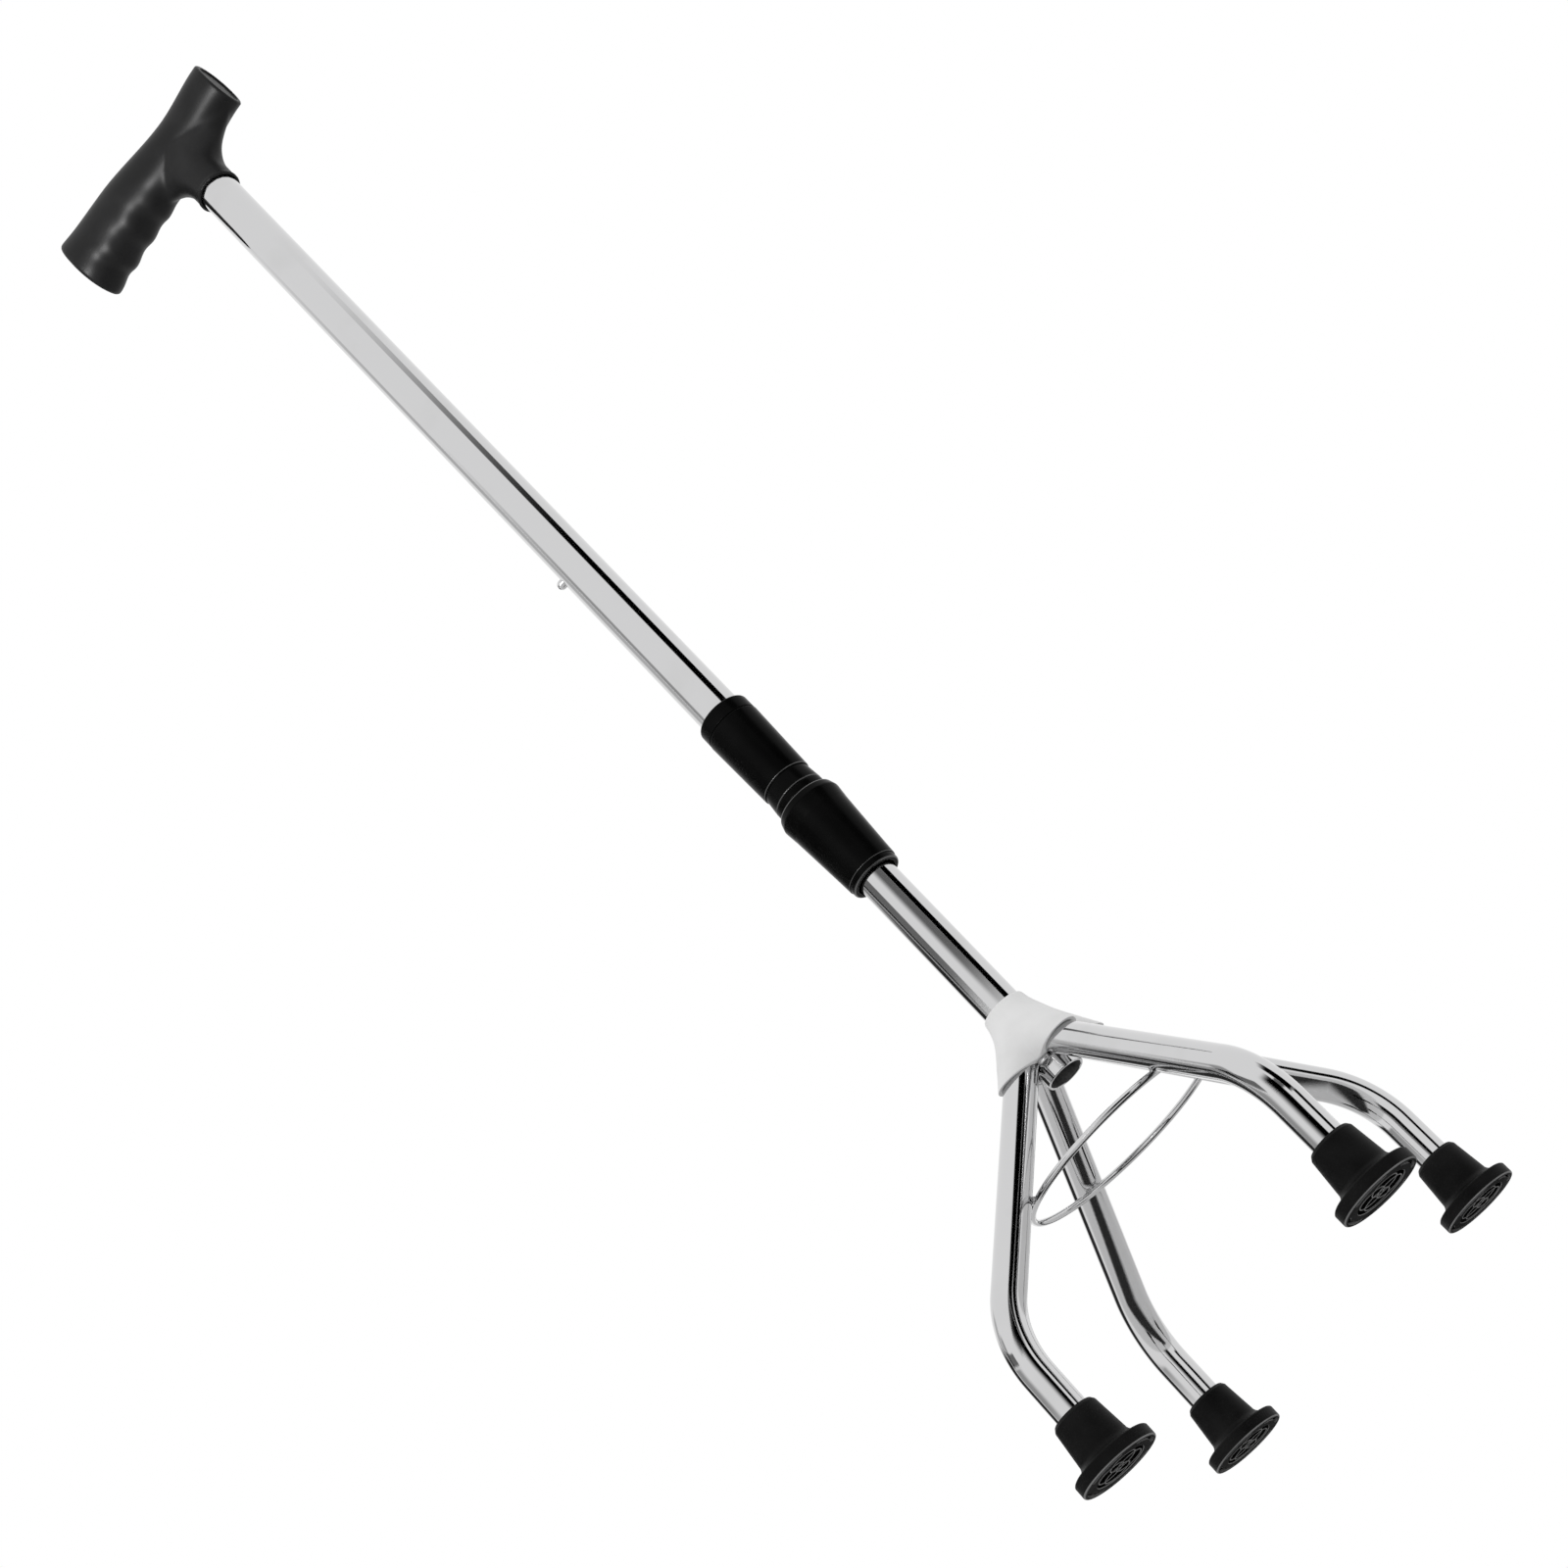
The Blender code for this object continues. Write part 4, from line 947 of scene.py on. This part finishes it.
# Half sizes of a tack along the wire, towards the leg and across, and of a weld along, out and up
lumpSet = {
    "steps": 9, "around": 20, "uneven": (0.10, 0.07),
    "tack": (3.1 * mm, 1.75 * mm, 1.6 * mm), "tackShift": 1.5 * mm, "tries": 720,
    "weld": (3.6 * mm, 2.0 * mm, 2.2 * mm), "weldAway": 11.4 * mm, "weldHeight": 156.6 * mm,
}
ringTilt = math.radians(ringSet["tilt"])
upwards = Vector((0, 0, 1))


def ringPoint(angle):
    x, y = polar(ringSet["radius"], angle)
    return Vector(ringSet["centre"]) + Vector((x, y * math.cos(ringTilt), y * math.sin(ringTilt)))


def makeRing():
    up = Vector((0, -math.sin(ringTilt), math.cos(ringTilt)))
    section = spokes(ringSet["around"], ringSet["wire"])
    rows = []
    for spot in [ringPoint(a) for a in circle(ringSet["along"])]:
        out = (spot - Vector(ringSet["centre"])).normalized()
        rows.append([tuple(spot + out * c + up * s) for c, s in section])
    ring = makePiece("braceRing", *skin(rows, closed=True), chrome, even=False)
    settle(ring, "chrome", "base", "brace_ring")


def legAxisSpot(spot, azimuth):
    # the nearest place on the axis of a leg's straight run
    start = upwards * legSet["meeting"]
    run = Vector((*polar(diagonal, azimuth), -diagonal))
    return start + run * (spot - start).dot(run)


def makeLump(name, middle, axes, phase):
    # an uneven drop of weld
    long, deep, wide = axes
    threes, fives = lumpSet["uneven"]
    rows = []
    for k in range(1, lumpSet["steps"]):
        down = math.pi * k / lumpSet["steps"]
        row = []
        for t in circle(lumpSet["around"]):
            uneven = 1 + threes * math.sin(3 * t + 2 * down + phase) + fives * math.cos(5 * t - 3 * down)
            c, s = polar(math.sin(down) * uneven, t)
            row.append(tuple(middle + long * math.cos(down) + deep * c + wide * s))
        rows.append(row)
    settle(makePiece(name, *skin(rows), tackChrome, sharp=60.0), "chrome", "base")


def makeTack(name, azimuth):
    # bridges the wire and the leg where they come nearest
    turns = [-math.pi + math.tau * k / lumpSet["tries"] for k in range(lumpSet["tries"] + 1)]
    best = min(turns, key=lambda a: (legAxisSpot(ringPoint(a), azimuth) - ringPoint(a)).length)
    spot = ringPoint(best)
    towards = (legAxisSpot(spot, azimuth) - spot).normalized()
    along = (ringPoint(best + 0.01) - spot).normalized()
    axes = (along, towards, towards.cross(along).normalized())
    sizes = [axis * half for axis, half in zip(axes, lumpSet["tack"])]
    makeLump("tack_" + name, spot + towards * lumpSet["tackShift"], sizes, azimuth)


def makeWeld(k):
    # in the corner between two legs and the tube
    out = Vector((*polar(1, k * math.pi / 2), 0))
    axes = (out.cross(upwards), out, upwards)
    sizes = [axis * half for axis, half in zip(axes, lumpSet["weld"])]
    makeLump(f"weld_{k}", out * lumpSet["weldAway"] + upwards * lumpSet["weldHeight"], sizes, k * 1.7)


makeRing()
for name, azimuth in azimuths.items():
    makeTack(name, azimuth)
for k in range(4):
    makeWeld(k)
print("ring and tacks made")

# Feet: turned rubber ferrules whose sole has a sunk middle crossed by thin ribs, and grooves in its rim
footSet = {
    "height": 27.6 * mm, "flange": 18.7 * mm, "flangeTop": 5.8 * mm, "flare": 4.9 * mm, "neck": 12.0 * mm,
    "lip": 10.5 * mm, "bore": 7.8 * mm, "sole": 6.5 * mm, "recess": 12.0 * mm, "depth": 1.2 * mm,
    "flangeEdge": 0.5 * mm, "flareSteps": 7,
    "loop": 6.6 * mm, "loopOffset": 4.8 * mm, "rib": 0.6 * mm, "ribTop": 0.2 * mm, "ribFoot": 0.3 * mm,
    "ribEdge": 0.15 * mm,
    "groove": 16.2 * mm, "grooveWidth": 1.7 * mm, "grooveSpan": 28.0,
    # how far down the edges with painted highlights reach, and how wide they are outside and at the recess
    "wearAndHighlight": 0.45 * mm, "highlightOutside": 0.7 * mm, "highlightInside": 0.5 * mm,
}


def footLine():
    f = footSet
    flareTop, flareOut = f["flangeTop"] + f["flare"], f["flange"] - f["flangeEdge"] - f["neck"]
    corners = [
        (f["lip"] - 1.1 * mm, f["height"], 0.5 * mm), (f["lip"], f["height"] - 1.6 * mm, 0.8 * mm),
        (f["neck"], flareTop + 0.6 * mm, 2.0 * mm),
    ]
    for a in quarter(f["flareSteps"], 1):
        corners.append((f["neck"] + flareOut * (1 - math.cos(a)), flareTop - f["flare"] * math.sin(a)))
    corners += [
        (f["flange"], f["flangeTop"] - f["flangeEdge"], 0.4 * mm), (f["flange"], 0.0, 0.7 * mm),
        (f["recess"], 0.0, 0.3 * mm), (f["recess"], f["depth"], 0.3 * mm), (0.0, f["depth"]),
        (0.0, f["sole"]), (f["bore"], f["sole"]), (f["bore"], f["height"], 0.5 * mm),
    ]
    return rounded(corners)


def kidney(place, middle):
    # a short curved groove with round ends
    f = footSet
    radius, half, reach = f["groove"], f["grooveWidth"] / 2, math.radians(f["grooveSpan"])
    first, last = math.radians(middle) - reach, math.radians(middle) + reach

    def arc(centre, size, start, end, steps):
        turned = [polar(size, start + (end - start) * k / steps) for k in range(steps + 1)]
        return [(centre[0] + x, centre[1] + y) for x, y in turned]

    def roundEnd(at, start):
        return arc(polar(radius, at), half, start, start + math.pi, 6)[1:-1]

    line = arc((0, 0), radius + half, first, last, 16) + roundEnd(last, last)
    line += arc((0, 0), radius - half, last, first, 16) + roundEnd(first, first + math.pi)
    rows = [[(place[0] + x, place[1] + y, z) for x, y in line] for z in (-mm, f["depth"])]
    return cutter("cutKidney", *skin(rows))


def addRibs(mesh, place):
    # four loops that cross one another on the recess's floor
    f = footSet
    inner, outer, foot = f["loop"] - f["rib"], f["loop"], f["depth"] + f["ribFoot"]
    top = (f["ribTop"], f["ribEdge"])
    line = rounded([(outer, *top), (outer, foot), (inner, foot), (inner, *top)], 2)
    for a in circle(4, 0.5):
        x, y = polar(f["loopOffset"], a)
        fillMesh(mesh, *turn(line, 48, place=(place[0] + x, place[1] + y, 0)))


def soleToneAt(spot):
    # 1 for the painted highlights on the ribs, the lower edges and the groove walls, 2 for the lighter grey
    # flat rim, 0 elsewhere
    f = footSet
    away, z = spot.xy.length, spot.z
    if z > f["depth"] - 0.05 * mm:
        return 0
    if z < 0.01 * mm:
        return 2
    rib = away < f["recess"] - 0.4 * mm and z < 2 * f["ribTop"]
    edge = z < f["wearAndHighlight"] and (away > f["flange"] - f["highlightOutside"] or away < f["recess"] + f["highlightInside"])
    return int(rib or edge or abs(away - f["groove"]) < f["grooveWidth"])


def makeFoot(name, azimuth):
    place = (*polar(footRadius, azimuth), 0)
    foot = makePiece("footRubber_" + name, *turn(footLine(), place=place), rubber, even=False)
    carve(foot, *[kidney(place, 90 * k) for k in range(4)])
    addRibs(foot.data, place)
    # the ribs, lower edges and groove walls get painted highlights, and the flat rim a lighter grey
    repaint(foot, [paintedHighlightTread, lighterRimRubber], lambda face: soleToneAt(face.center - Vector(place)))
    shade(foot, edgeAngle, even=True)
    settle(foot, "rubber", "base", "foot_" + name)


for name, azimuth in azimuths.items():
    makeFoot(name, azimuth)
print("feet moulded")

# Studio: white all round, a floor that is open from below, and soft dark flags for the chrome
studioSet = {
    "ambient": 0.62,
    "floorSize": 8.0, "floorHeight": -0.0005, "floorFade": (0.7, 3.2), "floorColour": grey(0.93),
}


def anyRay(s, first, *others):
    found = s.node("LightPath", out=first)
    rays = found.out.node.outputs
    for kind in others:
        found = s.maths("MAXIMUM", found, Sock(s.tree, rays[kind]))
    return found


def makeWorld():
    # full white where it is seen, dimmer where it only lights
    world = bpy.data.worlds.new("whiteRoom")
    scene.world = world
    world.use_nodes = True
    world.node_tree.nodes.clear()
    s = Sock(world.node_tree)
    white = anyRay(s, "Is Camera Ray", "Is Glossy Ray", "Is Transmission Ray")
    strength = studioSet["ambient"] + white * (1.0 - studioSet["ambient"])
    back = s.node("Background", None, {"Color": grey(1.0), "Strength": strength})
    s.node("OutputWorld", None, {"Surface": back})


def makeFloor():
    # clear from below and for scattered light, and fading into the white far from the cane
    bm = bmesh.new()
    bmesh.ops.create_grid(bm, x_segments=8, y_segments=8, size=studioSet["floorSize"] / 2)
    mesh = bpy.data.meshes.new("studioFloor")
    bm.to_mesh(mesh)
    bm.free()
    floor = addObject("studioFloor", mesh)
    floor.location.z = studioSet["floorHeight"]
    mat, s = newMaterial("floorPaint")
    away = s.node("VectorMath", {"operation": "LENGTH"}, {0: objectCoords(s)}, out="Value")
    start, end = studioSet["floorFade"]
    faded = s.node("MapRange", {"interpolation_type": "SMOOTHSTEP"},
                   {"Value": away, "From Min": start, "From Max": end})
    under = s.node("NewGeometry", out="Backfacing")
    opening = s.maths("MAXIMUM", s.maths("MAXIMUM", under, anyRay(s, "Is Diffuse Ray")), faded)
    paint = s.node("BsdfDiffuse", None, {"Color": studioSet["floorColour"]})
    clear = s.node("BsdfTransparent")
    mixed = s.node("MixShader", None, {0: opening, 1: paint, 2: clear})
    mesh.materials.append(closeMaterial(mat, s, mixed))


# A flag stands on a drum round the cane, each a little outside the one before, and is only seen in
# reflections. Its azimuths are in degrees, and its feathers are left, right, low and high
drumSet = {"radius": 2.0, "step": 0.01, "rows": 30, "perDegree": 1.5, "fewest": 10}
flags = [
    {"azimuth": (-31, 1), "height": (0.70, 2.2), "feather": (4, 1.5, 0.10, 0.70), "dark": 1.0},
    {"azimuth": (-15, 3), "height": (0.22, 0.70), "feather": (3, 2, 0.10, 0.10), "dark": 1.0},
    {"azimuth": (-74, -31), "height": (0.93, 1.40), "feather": (34, 4, 0.14, 0.10), "dark": 0.84},
    {"azimuth": (-174, -162), "height": (0.93, 1.36), "feather": (4, 3, 0.12, 0.08), "dark": 0.98},
    {"azimuth": (-162, -128), "height": (0.95, 1.36), "feather": (3, 4, 0.12, 0.08), "dark": 0.82},
    {"azimuth": (-198, -174), "height": (0.90, 1.36), "feather": (6, 3, 0.12, 0.08), "dark": 0.6},
    {"azimuth": (-173, -156), "height": (1.36, 1.95), "feather": (6, 8, 0.08, 0.45), "dark": 0.6},
    {"azimuth": (-200, -176), "height": (1.36, 2.5), "feather": (8, 6, 0.08, 0.6), "dark": 0.4},
    {"azimuth": (-178, -140), "height": (0.45, 0.90), "feather": (6, 30, 0.10, 0.10), "dark": 0.6},
    {"azimuth": (141, 177), "height": (0.25, 1.15), "feather": (10, 5, 0.10, 0.24), "dark": 0.97},
    {"azimuth": (-78, -48), "height": (0.03, 0.24), "feather": (28, 3, 0.02, 0.06), "dark": 1.0,
     "radius": 0.314},
]
# One more lies on the floor
groundFlag = {
    "middle": (0.05, -0.055), "half": (0.24, 0.05), "turn": -21.0, "feather": (0.06, 0.035), "dark": 0.95,
    "height": -0.0003, "steps": 24,
}


def softEdge(value, low, high, lowFeather, highFeather):
    return smooth((value - low) / lowFeather + 0.5) * smooth((high - value) / highFeather + 0.5)


def feathered(low, high, lowFeather, highFeather):
    # where the feathers end
    return low - lowFeather / 2, high + highFeather / 2


def makeFlag(name, dark, wide, tall, across, up, spotAt):
    # wide and tall are (low, high, low feather, high feather), in the measures that spotAt takes
    (left, right), (foot, head) = feathered(*wide), feathered(*tall)
    places = [(left + (right - left) * i / across, foot + (head - foot) * k / up)
              for k in range(up + 1) for i in range(across + 1)]
    starts = [k * (across + 1) + i for k in range(up) for i in range(across)]
    mesh = bpy.data.meshes.new(name)
    mesh.from_pydata([spotAt(u, v) for u, v in places], [],
                     [(a, a + 1, a + across + 2, a + across + 1) for a in starts])
    shades = [dark * softEdge(u, *wide) * softEdge(v, *tall) for u, v in places]
    mesh.attributes.new("shade", "FLOAT", "POINT").data.foreach_set("value", shades)
    card = addObject(name, mesh)
    mat, s = newMaterial(name + "Cloth")
    amount = s.node("Attribute", {"attribute_name": "shade"}, out="Fac")
    clear = s.node("BsdfTransparent")
    black = s.node("BsdfDiffuse", None, {"Color": grey(0.0)})
    mixed = s.node("MixShader", None, {0: amount, 1: clear, 2: black})
    mesh.materials.append(closeMaterial(mat, s, mixed))
    card.visible_camera = False
    card.visible_diffuse = False
    card.visible_shadow = False


def standFlag(index, flag):
    radius = flag.get("radius", drumSet["radius"] + drumSet["step"] * index)
    wide, tall = flag["azimuth"] + flag["feather"][:2], flag["height"] + flag["feather"][2:]
    left, right = feathered(*wide)
    across = max(drumSet["fewest"], int((right - left) * drumSet["perDegree"]))
    makeFlag(f"flag_{index}", flag["dark"], wide, tall, across, drumSet["rows"],
             lambda a, z: (*polar(radius, math.radians(a)), z))


def layFlag(flag):
    c, s = polar(1, math.radians(flag["turn"]))
    (middleX, middleY), (halfX, halfY), (featherX, featherY) = flag["middle"], flag["half"], flag["feather"]
    wide, tall = (-halfX, halfX, featherX, featherX), (-halfY, halfY, featherY, featherY)
    makeFlag("groundFlag", flag["dark"], wide, tall, flag["steps"], flag["steps"],
             lambda x, y: (middleX + x * c - y * s, middleY + x * s + y * c, flag["height"]))


# Only the low lamp shows in the chrome, and its spread keeps it off the legs
lamps = {
    "keyLamp": {"place": (1.2, -1.8, 2.2), "target": (0, 0, 0.4), "size": (2.2, 2.2), "power": 14,
                "spread": 180, "mirrored": False},
    "fillLamp": {"place": (-1.9, -1.1, 1.3), "target": (0, 0, 0.4), "size": (1.8, 1.8), "power": 7,
                 "spread": 180, "mirrored": False},
    "lowLamp": {"place": (-0.35, -1.97, 0.42), "target": (0, 0, 0.8), "size": (1.0, 0.3), "power": 4,
                "spread": 34, "mirrored": True},
}


def hangLamp(name, lamp):
    data = bpy.data.lights.new(name, "AREA")
    data.shape = "RECTANGLE"
    data.size, data.size_y = lamp["size"]
    data.energy = lamp["power"]
    data.spread = math.radians(lamp["spread"])
    light = addObject(name, data)
    light.location = lamp["place"]
    aim = Vector(lamp["target"]) - Vector(lamp["place"])
    light.rotation_euler = aim.to_track_quat("-Z", "Y").to_euler()
    light.visible_glossy = lamp["mirrored"]


makeWorld()
makeFloor()
for index, flag in enumerate(flags):
    standFlag(index, flag)
layFlag(groundFlag)
for name, lamp in lamps.items():
    hangLamp(name, lamp)
scene.view_settings.view_transform = "Standard"
print("studio lit")
